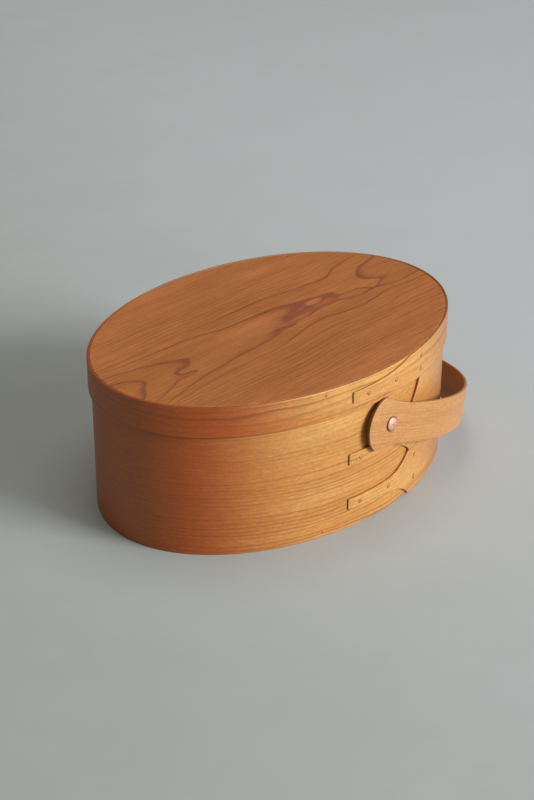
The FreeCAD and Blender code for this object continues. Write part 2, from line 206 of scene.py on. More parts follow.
def close_grain(tree, shader, place, colour, dark, fibres, flecks, pores, gloss):
    """What wood shows close up: fibres and flecks in its tone, dark pores, and oil over them."""
    fibre, fibre_tone = toned_noise(tree, place, *fibres)
    fleck_tone = toned_noise(tree, place, *flecks)[1]
    silk = add(tree, "ShaderNodeMath", {0: fibre_tone, 1: fleck_tone}, operation="MULTIPLY")
    colour = add(tree, "ShaderNodeVectorMath", {0: colour, 3: silk}, operation="SCALE")
    pore = toned_noise(tree, place, *pores)[1]
    # Under the oil the fibres are just felt and the pores lie a little lower.
    relief = add(tree, "ShaderNodeMath", {0: fibre, 1: pore}, operation="SUBTRACT")
    bump = add(tree, "ShaderNodeBump", {"Strength": 0.12, "Distance": 0.2 * MM, "Height": relief})
    rough = add(tree, "ShaderNodeMapRange", {0: fibre, 3: gloss[0], 4: gloss[1]})
    connect(tree, shader, {"Roughness": rough, "Normal": bump, "IOR": 1.5})
    return add(tree, "ShaderNodeMix", {0: pore, 6: colour, 7: dark}, data_type="RGBA")


print("shared patterns", [f.__name__ for f in (toned_noise, shape_curve, years, close_grain)])

# %% [markdown]
# ### Tone and rings of a strip
#
# Two functions draw what a strip shows from arm's length. The waves are counted per metre.

# %% Ground tone and year rings of a strip
def strip_ground(tree, place, length, ground, pale, tones):
    """Slow waves of tone, 140 mm long and 12 mm high, under painted shade that comes and goes along
    it.
    """
    share = toned_noise(tree, place, (7.0, 80.0, 300.0), 3.0, 0.32, 0.68)[1]
    body = add(tree, "ShaderNodeMix", {0: share, 6: ground, 7: pale}, data_type="RGBA")
    # Painted shade along a strip: deeper and redder round the left end, darker and pinker round the
    # right.
    for tone, (start, full, still, end) in tones:
        rise = add(tree, "ShaderNodeMapRange", {0: length, 1: start * MM, 2: full * MM},
                   interpolation_type="SMOOTHSTEP")
        fall = add(tree, "ShaderNodeMapRange",
                   {0: length, 1: still * MM, 2: end * MM, 3: 1.0, 4: 0.0},
                   interpolation_type="SMOOTHSTEP")
        here = add(tree, "ShaderNodeMath", {0: rise, 1: fall}, operation="MULTIPLY")
        body = add(tree, "ShaderNodeMix", {0: here, 6: body, 7: tone}, data_type="RGBA")
    return body


def strip_rings(tree, place, height, spacing, strength, calm):
    """How dark the late wood makes each place of a strip."""
    # Year rings: height divided by the spacing, made to wander slowly along the strip.
    parts = add(tree, "ShaderNodeSeparateXYZ", {0: place})
    rows = add(tree, "ShaderNodeMath", {0: parts.outputs["Y"], 1: 1.0 / (spacing * MM)},
               operation="MULTIPLY")
    wander = stretched_noise(tree, place, (9.0, 45.0, 0.0), 2.0)
    rings = add(tree, "ShaderNodeMath", {0: wander, 1: 4.0, 2: rows}, operation="MULTIPLY_ADD")
    # Some years are stronger than others, and a ring comes and goes along its length.
    share, year_power = years(tree, rings, 0.15, 1.0)
    patch_power = toned_noise(tree, place, (14.0, 30.0, 0.0), 2.0, 0.3, 0.7, 0.35, 1.0)[1]
    quiet = add(tree, "ShaderNodeMapRange",
                {0: height, 1: calm * MM, 2: (calm + 15.0) * MM, 3: 1.0, 4: 0.45})
    # Late wood darkens slowly towards the end of the year and stops sharply.
    depth = add(tree, "ShaderNodeFloatCurve", {"Value": share})
    shape_curve(depth, ((0.0, 0.0), (0.3, 0.05), (0.62, 0.5), (0.85, 1.0), (0.96, 0.12), (1.0, 0.0)))
    for power in (year_power, patch_power, strength, quiet):
        depth = add(tree, "ShaderNodeMath", {0: depth, 1: power}, operation="MULTIPLY")
    return depth


print("a slow wave of tone, mm", round(1.0 / 7.0 / MM), "by", round(1.0 / 80.0 / MM, 1))

# %% [markdown]
# ### The whole strip
#
# Close up, a strip shows fibres, flecks and pores, and its cut edges are darker, from oil and as
# painted shade. The three strips are the same kind of wood but not the same plank, so they share
# this function, and each has a ground tone, rings and a place in the pattern of its own.

# %% Material for anything cut from a cherry strip
# Dark brown for cut edges: oil soaked into them, and painted shade on the cut steps.
EDGE_OIL_AND_SHADE_BROWN = "#48210f"
# Painted shade: a pinker brown round the box's right end and a deep red round its left end.
PAINTED_SHADE_PINK = "#a5714a"
PAINTED_SHADE_RED = "#a24414"
GOLD_SHEEN = "#fff3c0"
# Each noise is its waves per metre, its detail, the range that counts and the tones it gives.
STRIP_GRAIN = {
    # Fibres are about 0.05 mm apart; they are drawn at 0.4 mm so that they show.
    "fibres": ((60.0, 2500.0, 2500.0), 2.0, 0.3, 0.7, 0.86, 1.1),
    # Ray fleck: pale spots about 2.4 mm long and 1.1 mm high.
    "flecks": ((420.0, 900.0, 400.0), 1.0, 0.35, 0.72, 0.94, 1.15),
    # Pores: sparse dark dashes, 0.2 mm high and 2 mm long.
    "pores": ((500.0, 5200.0, 5200.0), 0.0, 0.68, 0.78, 0.0, 0.35),
    "gloss": (0.36, 0.48)}


def strip_cherry(name, ground, pale, ring, tones, spacing, strength, calm, shift):
    """Oiled cherry cut along its rings. Each tone is painted shade: a colour and the four lengths
    along the strip between which it comes, stays and goes. The rings are spacing apart and show less
    above calm, all in mm. shift picks another part of the plank, in metres."""
    material, tree, shader = new_material(name)
    grain = add(tree, "ShaderNodeAttribute", attribute_name="grain").outputs["Vector"]
    flat = add(tree, "ShaderNodeSeparateXYZ", {0: grain})
    place = add(tree, "ShaderNodeVectorMath", {0: grain, 1: (shift, shift, 0.0)}, operation="ADD")
    body = strip_ground(tree, place, flat.outputs["X"], ground, pale, tones)
    depth = strip_rings(tree, place, flat.outputs["Y"], spacing, strength, calm)
    colour = add(tree, "ShaderNodeMix", {0: depth, 6: body, 7: ring}, data_type="RGBA")
    colour = close_grain(tree, shader, place, colour, ring, **STRIP_GRAIN)
    # Cut edges drink more oil than the faces do and darken, most of all where they cut end grain,
    # and the same darkening paints the shade on the cut steps.
    edge = add(tree, "ShaderNodeAttribute", attribute_name="edge").outputs["Fac"]
    soaked_and_shaded = add(tree, "ShaderNodeMath", {0: edge, 1: 0.92}, operation="MULTIPLY")
    colour = add(tree, "ShaderNodeMix", {0: soaked_and_shaded, 6: colour, 7: EDGE_OIL_AND_SHADE_BROWN}, data_type="RGBA")
    # Under the oil the fibres throw back a golden sheen, which shows where the light grazes them.
    connect(tree, shader, {"Base Color": colour, "Specular Tint": GOLD_SHEEN,
                           "Specular IOR Level": 1.0})
    return material


# The tones along both oval strips are painted shade round the box's two ends.
side_cherry = strip_cherry(
    "oiled bent cherry, sides", ground="#bb7e3e", pale="#cb9655", ring="#793718",
    tones=((PAINTED_SHADE_PINK, (45.0, 110.0, 300.0, 400.0)), (PAINTED_SHADE_RED, (300.0, 420.0, 505.0, 580.0))),
    spacing=2.3, strength=0.8, calm=45.0, shift=0.0)
lid_cherry = strip_cherry(
    "oiled bent cherry, lid", ground="#bb7e3e", pale="#cb9655", ring="#75381a",
    tones=((PAINTED_SHADE_PINK, (45.0, 110.0, 300.0, 400.0)), (PAINTED_SHADE_RED, (310.0, 430.0, 530.0, 605.0))),
    spacing=3.4, strength=0.85, calm=200.0, shift=0.31)
handle_cherry = strip_cherry(
    "oiled bent cherry, handle", ground="#b27944", pale="#be8855", ring="#8a4c28", tones=(),
    spacing=1.7, strength=0.35, calm=200.0, shift=0.67)
print("materials", [m.name for m in (side_cherry, lid_cherry, handle_cherry)])

# %% [markdown]
# ## The oval and the lap
#
# The strip is a spiral seen from above. Its outer end has the fingers and starts at the left of
# the front; the strip then goes once round the oval and slips under its own beginning, where it
# is planed thin so that the lap makes no step inside. Two rings joined by a Boolean would make one
# lump of both layers, so the strip is described along its own length instead. Three short
# functions say where its inner face lies and how thick it is. The angle is 0 at the middle of the
# front.

# %% Where the strip lies
def under_thickness(x, strip):
    """Thickness of the end underneath at x: whole at first, then planed to a thin edge."""
    planed = smooth((x - FEATHER[0]) / (FEATHER[1] - FEATHER[0]))
    return blend_between(strip, FEATHER_EDGE, planed)


def lap_inner(x, strip):
    """How far the outer layer lies off the oval at x along the front."""
    if x <= FEATHER[1]:
        return under_thickness(x, strip) + GLUE_LINE
    return (FEATHER_EDGE + GLUE_LINE) * (1.0 - smooth((x - FEATHER[1]) / SETTLE_RUN))


def strip_at(oval, strip, angle):
    """(offset of the inner face, thickness) at an angle that grows from the fingers' tips on."""
    x = oval[0] * math.sin(angle)
    if angle > WHOLE_TURN / 2.0:
        return 0.0, under_thickness(x, strip) if angle > WHOLE_TURN else strip
    lapped = x < FEATHER[1] + SETTLE_RUN and angle < WHOLE_TURN / 4.0
    inner = lap_inner(x, strip) if lapped else 0.0
    bevel = min(1.0, (x - LAP_TIP) / TIP_BEVEL) if angle < 0.0 else 1.0
    return inner, strip * blend_between(TIP_SHARE, 1.0, max(0.0, bevel))


for x in (-27, 0, 20, 38):
    inner, thick = strip_at(BOX_OVAL, BOX_STRIP, math.asin(x / BOX_OVAL[0]))
    print("box strip at", x, "inner face", round(inner, 2), "thickness", round(thick, 2))

# %% [markdown]
# ## Forms
#
# A form is what the strip is bent round. Here it is a chain of points a fixed distance apart,
# measured along the strip, and each point keeps the direction in which the strip's thickness
# grows. A curve object would do for the oval, but not for the handle: it leans outwards, so its
# lower edge goes round a slightly longer path than its upper edge does. Every form therefore has
# a low chain and a high chain.

# %% Put meshes into the scene
def new_object(name, data):
    """An object with this mesh, lamp or camera, in the scene."""
    obj = bpy.data.objects.new(name, data)
    bpy.context.scene.collection.objects.link(obj)
    return obj


def mesh_in_mm(name, points, edges=(), faces=()):
    """A mesh from points that are given in millimetres."""
    mesh = bpy.data.meshes.new(name)
    mesh.from_pydata([tuple(v * MM for v in p) for p in points], edges, faces)
    return mesh


def mark(mesh, name, values):
    """Store one number for each point of a mesh, or three for each point as a vector."""
    single = len(values) == len(mesh.vertices)
    layer = mesh.attributes.new(name, "FLOAT" if single else "FLOAT_VECTOR", "POINT")
    layer.data.foreach_set("value" if single else "vector", values)


def outward_points(name, points, outs, chained):
    """A loose mesh of points with their outward directions, chained to each other or apart."""
    edges = [(i, i + 1) for i in range(len(points) - 1)] if chained else []
    mesh = mesh_in_mm(name, points, edges)
    mark(mesh, "out", [c for out in outs for c in out])
    return new_object(name, mesh)


# %% [markdown]
# ### The ovals' forms
#
# The points are spaced by measuring, because equal angles round an oval are unequal lengths. The
# table of lengths that this gives is kept: later it turns a place on the oval into a place on the
# flat blank.

# %% Build the forms of the box and the lid
SPACING = 1.0                      # from point to point along a form


def evenly(rule, start, end, steps=6000):
    """Parameters whose points under rule lie SPACING apart, and the table of length by parameter."""
    values = np.linspace(start, end, steps)
    points = np.array([rule(v) for v in values])
    lengths = np.concatenate(([0.0], np.cumsum(np.linalg.norm(np.diff(points, axis=0), axis=1))))
    count = int(math.ceil(lengths[-1] / SPACING)) + 1
    places = np.interp(np.arange(count) * SPACING, lengths, values)
    return places, (values, lengths)


def oval_form(name, oval, strip, bottom, top):
    """The two chains of a strip wrapped round an oval, and its length table by angle."""
    start = math.asin(LAP_TIP / oval[0])
    end = WHOLE_TURN + math.asin(FEATHER[1] / oval[0])

    def inner_point(angle):
        off = strip_at(oval, strip, angle)[0]
        return ((oval[0] + off) * math.sin(angle), -(oval[1] + off) * math.cos(angle))

    places, table = evenly(inner_point, start, end)
    outs = [(math.sin(a), -math.cos(a), 0.0) for a in places]
    chains = [outward_points(name + edge, [(*inner_point(a), z) for a in places], outs, True)
              for edge, z in ((" low", bottom), (" high", top))]
    return chains, table


box_form, box_table = oval_form("box form", BOX_OVAL, BOX_STRIP, 0.0, BOX_RIM)
lid_form, lid_table = oval_form("lid form", LID_OVAL, LID_STRIP, LID_BOTTOM, TOTAL_HEIGHT)
print("flat length of the box's strip, mm", round(box_table[1][-1], 1))
print("flat length of the lid's strip, mm", round(lid_table[1][-1], 1))

# %% [markdown]
# ## Flat blanks
#
# A blank is an outline with holes, cut from flat stock. Its arrises are eased with sandpaper, so
# each edge of the blank is a small quarter round on both faces. A Bevel modifier would ease them
# too, but its width would be too much where the end is planed thin. So the outline is moved
# inwards ring by ring, with mitred corners. The direction in which a point moves also tells
# whether its edge was cut along the fibres or across them.

# %% Offset an outline
SHARPEST = 0.45                    # limits how far a sharp corner's mitre reaches
ALONG_GRAIN = 0.4                  # how much an edge along the fibres darkens, of 1 across them


def mitres(loop):
    """At each point of the loop, the step inwards that moves both its edges by 1."""
    ahead = np.roll(loop, -1, axis=0) - loop
    ahead /= np.linalg.norm(ahead, axis=1)[:, None]
    left = np.stack([-ahead[:, 1], ahead[:, 0]], axis=1)
    before = np.roll(left, 1, axis=0)
    share = 1.0 + np.sum(left * before, axis=1)
    return (left + before) / np.maximum(share, SHARPEST)[:, None]


def inset(loop, distance):
    """The loop moved inwards, mitred at its corners. Material lies on the loop's left."""
    return loop + distance * mitres(loop)


def end_grain(loop):
    """How far each point's edge cuts across the fibres, from ALONG_GRAIN to 1."""
    inwards = mitres(loop)
    across = inwards[:, 0]**2 / np.sum(inwards**2, axis=1)
    return ALONG_GRAIN + (1.0 - ALONG_GRAIN) * across


square = np.array([(0.0, 0.0), (20.0, 0.0), (20.0, 20.0), (0.0, 20.0)])
print("a 20 mm square moved in by 1 mm", inset(square, 1.0).tolist())

# %% [markdown]
# ### Fill the flat middle
#
# Inside its last ring a blank is flat. One large face would not bend, and a fan of long triangles
# would bend badly, so the middle is filled by a Delaunay triangulation. Its columns line up with
# the points of the straight edges, because the strip will bend only along its length.

# %% Fill the flat middle
COLUMN = 2.0                       # between columns of a blank
ROW = 8.0                          # between rows
CLEARANCE = 0.9                    # no inner point comes nearer than this to the border
HOLE_RINGS = (1.5, 2.2)            # rings of points round a hole, as shares of its size
WELD = 1e-5                        # points nearer than this to each other become one


def inside(points, loop):
    """Which of the points lie inside the loop."""
    x, y = points[:, 0], points[:, 1]
    odd = np.zeros(len(points), bool)
    for (x0, y0), (x1, y1) in zip(loop, np.roll(loop, -1, axis=0)):
        if y0 != y1:
            crosses = (y0 > y) != (y1 > y)
            odd ^= crosses & (x < (x1 - x0) * (y - y0) / (y1 - y0) + x0)
    return odd


def neighbours(loops):
    """Pairs of neighbours round each closed loop, when the loops' points are numbered on."""
    pairs = []
    first = 0
    for loop in loops:
        count = len(loop)
        pairs += [(first + i, first + (i + 1) % count) for i in range(count)]
        first += count
    return pairs


def fill_flat(loops):
    """Triangles that fill the first loop and leave the others open, with a grid of inner points."""
    border = np.concatenate(loops)
    low, high = loops[0].min(axis=0), loops[0].max(axis=0)
    columns = np.arange(math.ceil(low[0] / COLUMN) * COLUMN, high[0], COLUMN)
    rows = np.linspace(low[1], high[1], max(2, int(round((high[1] - low[1]) / ROW))) + 1)[1:-1]
    grid = np.array([(s, z) for s in columns for z in rows])
    # Rings of points keep the blank flat round each hole, where a rivet's head bears on it.
    rings = [hole.mean(axis=0) + (hole - hole.mean(axis=0)) * share
             for hole in loops[1:] for share in HOLE_RINGS]
    grid = np.concatenate([grid] + rings)
    keep = inside(grid, loops[0])
    for hole in loops[1:]:
        keep &= ~inside(grid, hole)
    grid = grid[keep]
    near = np.array([np.min(np.hypot(*(border - p).T)) for p in grid])
    points = np.concatenate([border, grid[near > CLEARANCE]])
    made = geometry.delaunay_2d_cdt([Vector(p) for p in points], neighbours(loops), [], 1, WELD)
    source = [origins[0] for origins in made[3]]
    faces = [[source[i] for i in face] for face in made[2]]
    middles = np.array([points[face].mean(axis=0) for face in faces])
    open_here = np.zeros(len(faces), bool)
    for hole in loops[1:]:
        open_here |= inside(middles, hole)
    return points, [face for face, gone in zip(faces, open_here) if not gone]


print("a 20 mm square is filled with", len(fill_flat([square])[1]), "triangles")

# %% [markdown]
# ### Cut a blank
#
# A blank is a stack of rings: the outer face's flat middle, its eased arris, the cut edge, the
# inner face's arris and its flat middle. Each point remembers where it is on the flat strip, as
# "grain", and how much of the cut edge it is, as "edge". The wood's material reads both.

# %% Cut a blank
HOLD = 0.25                        # a ring this far inside the easing keeps the faces' shading flat
EASE_LIMIT = 0.35                  # an arris takes at most this share of the thickness


def cut_blank(name, outline, holes, thickness, ease):
    """A flat blank: X is along the strip, Y through it and Z up it. thickness(s) is in mm."""
    loops = [np.array(outline)] + [np.array(hole) for hole in holes]
    ends = np.concatenate([end_grain(loop) for loop in loops])
    points = []
    edge = []

    def put(ring, drop, outer, cut):
        first = len(points)
        for (s, z), end in zip(ring, ends if cut else np.zeros(len(ring))):
            whole = thickness(s)
            fall = min(drop, EASE_LIMIT * whole)
            points.append((s, whole - fall if outer else fall, z))
            edge.append(cut * end)
        return first

    corner = ease * (1.0 - math.sqrt(0.5))
    rings = [(ease, 0.0, 0.0), (corner, corner, 0.5), (0.0, ease, 1.0)]
    flat, faces = fill_flat([inset(loop, ease + HOLD) for loop in loops])
    steps = [put(flat, 0.0, True, 0.0)]
    for outer, order in ((True, rings), (False, rings[::-1])):
        for away, drop, cut in order:
            ring = np.concatenate([inset(loop, away) for loop in loops])
            steps.append(put(ring, drop, outer, cut))
    steps.append(put(flat, 0.0, False, 0.0))
    # Bending turns the blank's frame over, so the faces are laid the other way round here.
    caps = [[steps[0] + i for i in face] for face in faces]
    caps += [[steps[-1] + i for i in reversed(face)] for face in faces]
    walls = [(near + i, far + i, far + j, near + j)
             for near, far in zip(steps, steps[1:]) for i, j in neighbours(loops)]
    mesh = mesh_in_mm(name, points, faces=caps + walls)
    mark(mesh, "grain", [c * MM for s, y, z in points for c in (s, z, y)])
    mark(mesh, "edge", edge)
    mesh.shade_smooth()
    print(name, "points", len(points), "faces", len(mesh.polygons))
    return new_object(name, mesh)


print("an arris takes at most", round(EASE_LIMIT * BOX_STRIP, 2), "mm of the box's strip")

# %% [markdown]
# ## Outlines with swallowtail fingers
#
# The fingers let the strip's end move with the seasons without splitting, and the gaps between
# them are pointed arches. Each edge is a short straight run and a circular arc, cut with a knife
# to a template. Drawn freehand as a curve they would wobble, so each arc goes through three known
# points. The same outline runs down the strip's long edges, with a point every 2 mm.

# %% Arcs, runs and rounded ends
TIP_ROUND = 0.9                    # radius of the corners at a finger's tip


def arc_through(start, middle, end, count):
    """Points along the circle through three points, the ends included."""
    (ax, ay), (bx, by), (cx, cy) = start, middle, end
    a, b, c = ax**2 + ay**2, bx**2 + by**2, cx**2 + cy**2
    d = 2.0 * (ax * (by - cy) + bx * (cy - ay) + cx * (ay - by))
    ux = (a * (by - cy) + b * (cy - ay) + c * (ay - by)) / d
    uy = (a * (cx - bx) + b * (ax - cx) + c * (bx - ax)) / d
    turns = [math.atan2(y - uy, x - ux) for x, y in (start, middle, end)]
    sweep = (turns[2] - turns[0]) % WHOLE_TURN
    if (turns[1] - turns[0]) % WHOLE_TURN > sweep:
        sweep -= WHOLE_TURN
    radius = math.hypot(ax - ux, ay - uy)
    return [(ux + radius * math.cos(turns[0] + sweep * i / (count - 1)),
             uy + radius * math.sin(turns[0] + sweep * i / (count - 1))) for i in range(count)]


def run(start, end, step=COLUMN):
    """Points along a straight run, the start included and the end left out."""
    count = max(1, int(round(math.hypot(end[0] - start[0], end[1] - start[1]) / step)))
    return [(blend_between(start[0], end[0], i / count), blend_between(start[1], end[1], i / count))
            for i in range(count)]


def quarter_turn(steps, count):
    """The first angles of a quarter turn that is parted into equal steps."""
    return [math.pi / 2.0 * i / steps for i in range(count)]


def finger_end(upper, lower):
    """The rounded tip of a finger, from its upper edge down to its lower edge."""
    points = []
    for z, side in ((upper, 1.0), (lower, -1.0)):
        turn = [(LAP_TIP + TIP_ROUND * (1.0 - math.sin(t)), z - side * TIP_ROUND * (1.0 - math.cos(t)))
                for t in quarter_turn(4, 5)]
        points += turn if side > 0.0 else turn[::-1]
    return points


print("points round a finger's tip", len(finger_end(1.0, -1.0)))

# %% [markdown]
# ### The fingers
#
# The box has two fingers, which taper to their tips. Above the upper one the strip sweeps up to
# the rim in one long arc, a pointed arch parts the two, and half an arch ends at the bottom edge.
# The lid's strip is low and has one finger, drawn once and mirrored about its middle.

# %% Draw the fingers
FINGERS = (40.55, 14.05)           # heights of the two fingers' middles
FINGER_TIP, FINGER_SHOULDER = 6.5, 7.9
ARCH_RADIUS, SWEEP_RADIUS = 30.0, 33.0
LID_ROOT, LID_SHOULDER = 17.0, 10.6
ARCH_POINTS, SWEEP_POINTS, LID_POINTS = 14, 20, 30
RIM_STEP = 1.5


def arch(middle, half):
    """Half of the pointed arch between two fingers: from a finger's shoulder to the point."""
    apex = math.sqrt(ARCH_RADIUS**2 - (ARCH_RADIUS - abs(half))**2)
    lean = math.asin(apex / ARCH_RADIUS) / 2.0
    side = math.copysign(1.0, half)
    bulge = (ARCH_RADIUS * math.sin(lean),
             middle + half - side * ARCH_RADIUS * (1.0 - math.cos(lean)))
    return arc_through((0.0, middle + half), bulge, (apex, middle), ARCH_POINTS)


def finger(upper_shoulder, middle, lower_shoulder):
    """One finger's edge, from its upper shoulder out to the tip and back, that end left out."""
    tip_start, half = LAP_TIP + TIP_ROUND, FINGER_TIP / 2.0
    return (run((0.0, upper_shoulder), (tip_start, middle + half))
            + finger_end(middle + half, middle - half)
            + run((tip_start, middle - half), (0.0, lower_shoulder))[1:])


def box_fingers():
    """The fingers' edge from the top rim down to the bottom edge, as (x, z)."""
    high, low = FINGERS
    shoulder = FINGER_SHOULDER / 2.0
    gap, half = (high + low) / 2.0, (high - low) / 2.0 - shoulder
    edge = high + shoulder
    lean = SWEEP_RADIUS * math.sin(math.pi / 4.0)
    sweep = arc_through((SWEEP_RADIUS, edge + SWEEP_RADIUS), (lean, edge + SWEEP_RADIUS - lean),
                        (0.0, edge), SWEEP_POINTS)
    points = run((SWEEP_RADIUS, BOX_RIM), sweep[0], RIM_STEP) + sweep[:-1]
    points += finger(edge, high, gap + half)
    points += arch(gap, half) + arch(gap, -half)[-2::-1]
    points += finger(gap - half, low, low - shoulder)[1:]
    return points + arch(0.0, low - shoulder)


def lid_finger():
    """The lid's one finger, from the top edge down to the bottom edge, as (x, z)."""
    middle = (LID_BOTTOM + TOTAL_HEIGHT) / 2.0
    root = (LID_ROOT, (TOTAL_HEIGHT - LID_BOTTOM) / 2.0)
    shoulder, tip = (0.0, LID_SHOULDER / 2.0), (LAP_TIP - TIP_BEVEL, FINGER_TIP / 2.0)
    curve = [p for p in arc_through(root, shoulder, tip, LID_POINTS) if p[0] > LAP_TIP + TIP_ROUND]
    end = curve[-1][1]
    upper = [(x, middle + z) for x, z in curve]
    lower = [(x, middle - z) for x, z in curve]
    return upper + finger_end(middle + end, middle - end) + lower[::-1]


print("points along the fingers", len(box_fingers()), "on the box,", len(lid_finger()), "on the lid")

# %% [markdown]
# ### The whole outlines
#
# The fingers are drawn as they are seen from the front, and the length table lays them out flat.
# The box's strip also gets its two rivet holes, half a turn apart.

# %% Draw the outlines
SPARE = 0.3                        # share of a column that stays free beside a shaped end
END_STEP = 3.0                     # between points up the thin end
HOLE_RADIUS, HOLE_POINTS = 2.05, 24


def length_at(table, value):
    """Length along a form at an angle or a way."""
    return float(np.interp(value, *table))


def round_hole(s, z):
    """A rivet hole's loop, which runs clockwise so that the wood is on its left."""
    turns = [-WHOLE_TURN * i / HOLE_POINTS for i in range(HOLE_POINTS)]
    return [(s + HOLE_RADIUS * math.cos(t), z + HOLE_RADIUS * math.sin(t)) for t in turns]


def strip_outline(fingers, oval, table, bottom, top):
    """A whole strip's outline: along the bottom edge, up the thin end, back, then the fingers."""
    edge = [(length_at(table, math.asin(x / oval[0])), z) for x, z in fingers]
    end = table[1][-1]
    first = math.ceil(edge[-1][0] / COLUMN + SPARE) * COLUMN
    last = math.floor(end / COLUMN - SPARE) * COLUMN
    along = list(np.arange(first, last + COLUMN / 2.0, COLUMN))
    back = [s for s in along[::-1] if s > edge[0][0] + SPARE * COLUMN]
    outline = edge + [(s, bottom) for s in along] + run((end, bottom), (end, top), END_STEP)
    return outline + [(end, top)] + [(s, top) for s in back]


box_outline = strip_outline(box_fingers(), BOX_OVAL, box_table, 0.0, BOX_RIM)
lid_outline = strip_outline(lid_finger(), LID_OVAL, lid_table, LID_BOTTOM, TOTAL_HEIGHT)
pivot_holes = [round_hole(length_at(box_table, angle), PIVOT_HEIGHT)
               for angle in (math.pi, WHOLE_TURN)]
print("outline points", len(box_outline), len(lid_outline))

# %% [markdown]
# ## The bending tree
#
# This Geometry Nodes tree is the hot water and the form. For each point of a blank it looks up the
# two nearest points of the low chain and of the high chain, mixes them by how far along and how
# high the point is, and then steps outwards by the depth in the strip. A Curve modifier follows
# one path only, and a form has a lower and an upper one. The same tree bends all three strips, and
# its inputs are the two chains, their spacing and the blank's lower and upper edge.

# %% Start, close and run a tree
def new_tree(name, inputs, output):
    """A Geometry Nodes tree with named inputs, each with its kind, and the sockets they give."""
    tree = bpy.data.node_groups.new(name, "GeometryNodeTree")
    for label, kind in {**inputs, "Material": "Material"}.items():
        tree.interface.new_socket(label, in_out="INPUT", socket_type="NodeSocket" + kind)
    tree.interface.new_socket(output, in_out="OUTPUT", socket_type="NodeSocketGeometry")
    return tree, add(tree, "NodeGroupInput").outputs


def close_tree(tree, given, made):
    """End a tree with real geometry in its material."""
    whole = add(tree, "GeometryNodeRealizeInstances", {"Geometry": made})
    painted = add(tree, "GeometryNodeSetMaterial",
                  {"Geometry": whole, "Material": given["Material"]})
    add(tree, "NodeGroupOutput", {0: painted})
    return tree


def run_tree(obj, tree, values):
    """Give obj a tree with named inputs, then turn the result into its plain mesh."""
    modifier = obj.modifiers.new(tree.name, "NODES")
    modifier.node_group = tree
    names = {item.name: item.identifier for item in tree.interface.items_tree
             if item.in_out == "INPUT"}
    for name, value in values.items():
        modifier[names[name]] = value
    graph = bpy.context.evaluated_depsgraph_get()
    mesh = bpy.data.meshes.new_from_object(obj.evaluated_get(graph), preserve_all_data_layers=True,
                                           depsgraph=graph)
    obj.modifiers.remove(modifier)
    obj.data = mesh
    mesh.name = obj.name
    return obj


print("trees so far", len(bpy.data.node_groups))

# %% [markdown]
# ### Look up, mix and step out
#
# The chains' points are a fixed distance apart, so a length divided by the spacing is the number
# of a point, and what is left over says how far it is to the next one.

# %% Build the bending tree
def bending_tree():
    """Bend a flat blank round the two chains of its form."""
    tree, given = new_tree("bend a blank round its form", {
        "Blank": "Geometry", "Low chain": "Object", "High chain": "Object", "Spacing": "Float",
        "Lower edge": "Float", "Upper edge": "Float"}, "Strip")
    place = add(tree, "GeometryNodeInputPosition")
    parts = add(tree, "ShaderNodeSeparateXYZ", {0: place})
    steps = add(tree, "ShaderNodeMath", {0: parts.outputs["X"], 1: given["Spacing"]},
                operation="DIVIDE")
    before = add(tree, "ShaderNodeMath", {0: steps}, operation="FLOOR")
    after = add(tree, "ShaderNodeMath", {0: before, 1: 1.0}, operation="ADD")
    between = add(tree, "ShaderNodeMath", {0: steps}, operation="FRACT")
    rise = add(tree, "ShaderNodeMapRange", {0: parts.outputs["Z"], 1: given["Lower edge"],
                                            2: given["Upper edge"]}, clamp=False)
    outward = add(tree, "GeometryNodeInputNamedAttribute", {"Name": "out"},
                  data_type="FLOAT_VECTOR")
    forms = [add(tree, "GeometryNodeObjectInfo", {"Object": given[side]}).outputs["Geometry"]
             for side in ("Low chain", "High chain")]
    mixed = []
    for field in (place, outward):
        sides = []
        for form in forms:
            ends = [add(tree, "GeometryNodeSampleIndex",
                        {"Geometry": form, "Value": field, "Index": index},
                        data_type="FLOAT_VECTOR") for index in (before, after)]
            sides.append(add(tree, "ShaderNodeMix", {0: between, 4: ends[0], 5: ends[1]},
                             data_type="VECTOR"))
        mixed.append(add(tree, "ShaderNodeMix", {0: rise, 4: sides[0], 5: sides[1]},
                         data_type="VECTOR"))
    foot, out = mixed
    step = add(tree, "ShaderNodeVectorMath", {0: out, 3: parts.outputs["Y"]}, operation="SCALE")
    bent = add(tree, "ShaderNodeVectorMath", {0: foot, 1: step}, operation="ADD")
    moved = add(tree, "GeometryNodeSetPosition", {"Geometry": given["Blank"], "Position": bent})
    return close_tree(tree, given, moved)


bend = bending_tree()
print("bending tree nodes", len(bend.nodes))

# %% [markdown]
# ## The box's side and the lid's side
#
# The box's side is one tall strip with two fingers, and the lid's side is a low one with a single
# finger. Both could be made as closed rings, but then the lap, its glue line and the thin end
# inside would be missing. Cut and bent in the same way as the real ones, they have all three.

# %% Bend the two oval strips
SIDE_EASE = 0.3                    # radius of the sides' arrises


def bend_strip(name, outline, holes, thickness, ease, form, edges, material):
    """Cut a blank, bend it round its form and put the form away."""
    blank = cut_blank(name, outline, holes, thickness, ease)
    run_tree(blank, bend, {"Low chain": form[0], "High chain": form[1], "Spacing": SPACING * MM,
                           "Lower edge": edges[0] * MM, "Upper edge": edges[1] * MM,
                           "Material": material})
    for piece in form:
        bpy.data.objects.remove(piece)
    return blank


def oval_thickness(oval, strip, table):
    """The strip's thickness by the length along it."""
    angles, lengths = table
    return lambda s: strip_at(oval, strip, float(np.interp(s, lengths, angles)))[1]


side_strip = bend_strip("side_strip", box_outline, pivot_holes,
                        oval_thickness(BOX_OVAL, BOX_STRIP, box_table), SIDE_EASE,
                        box_form, (0.0, BOX_RIM), side_cherry)
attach(side_strip, "box")
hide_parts("box_band")

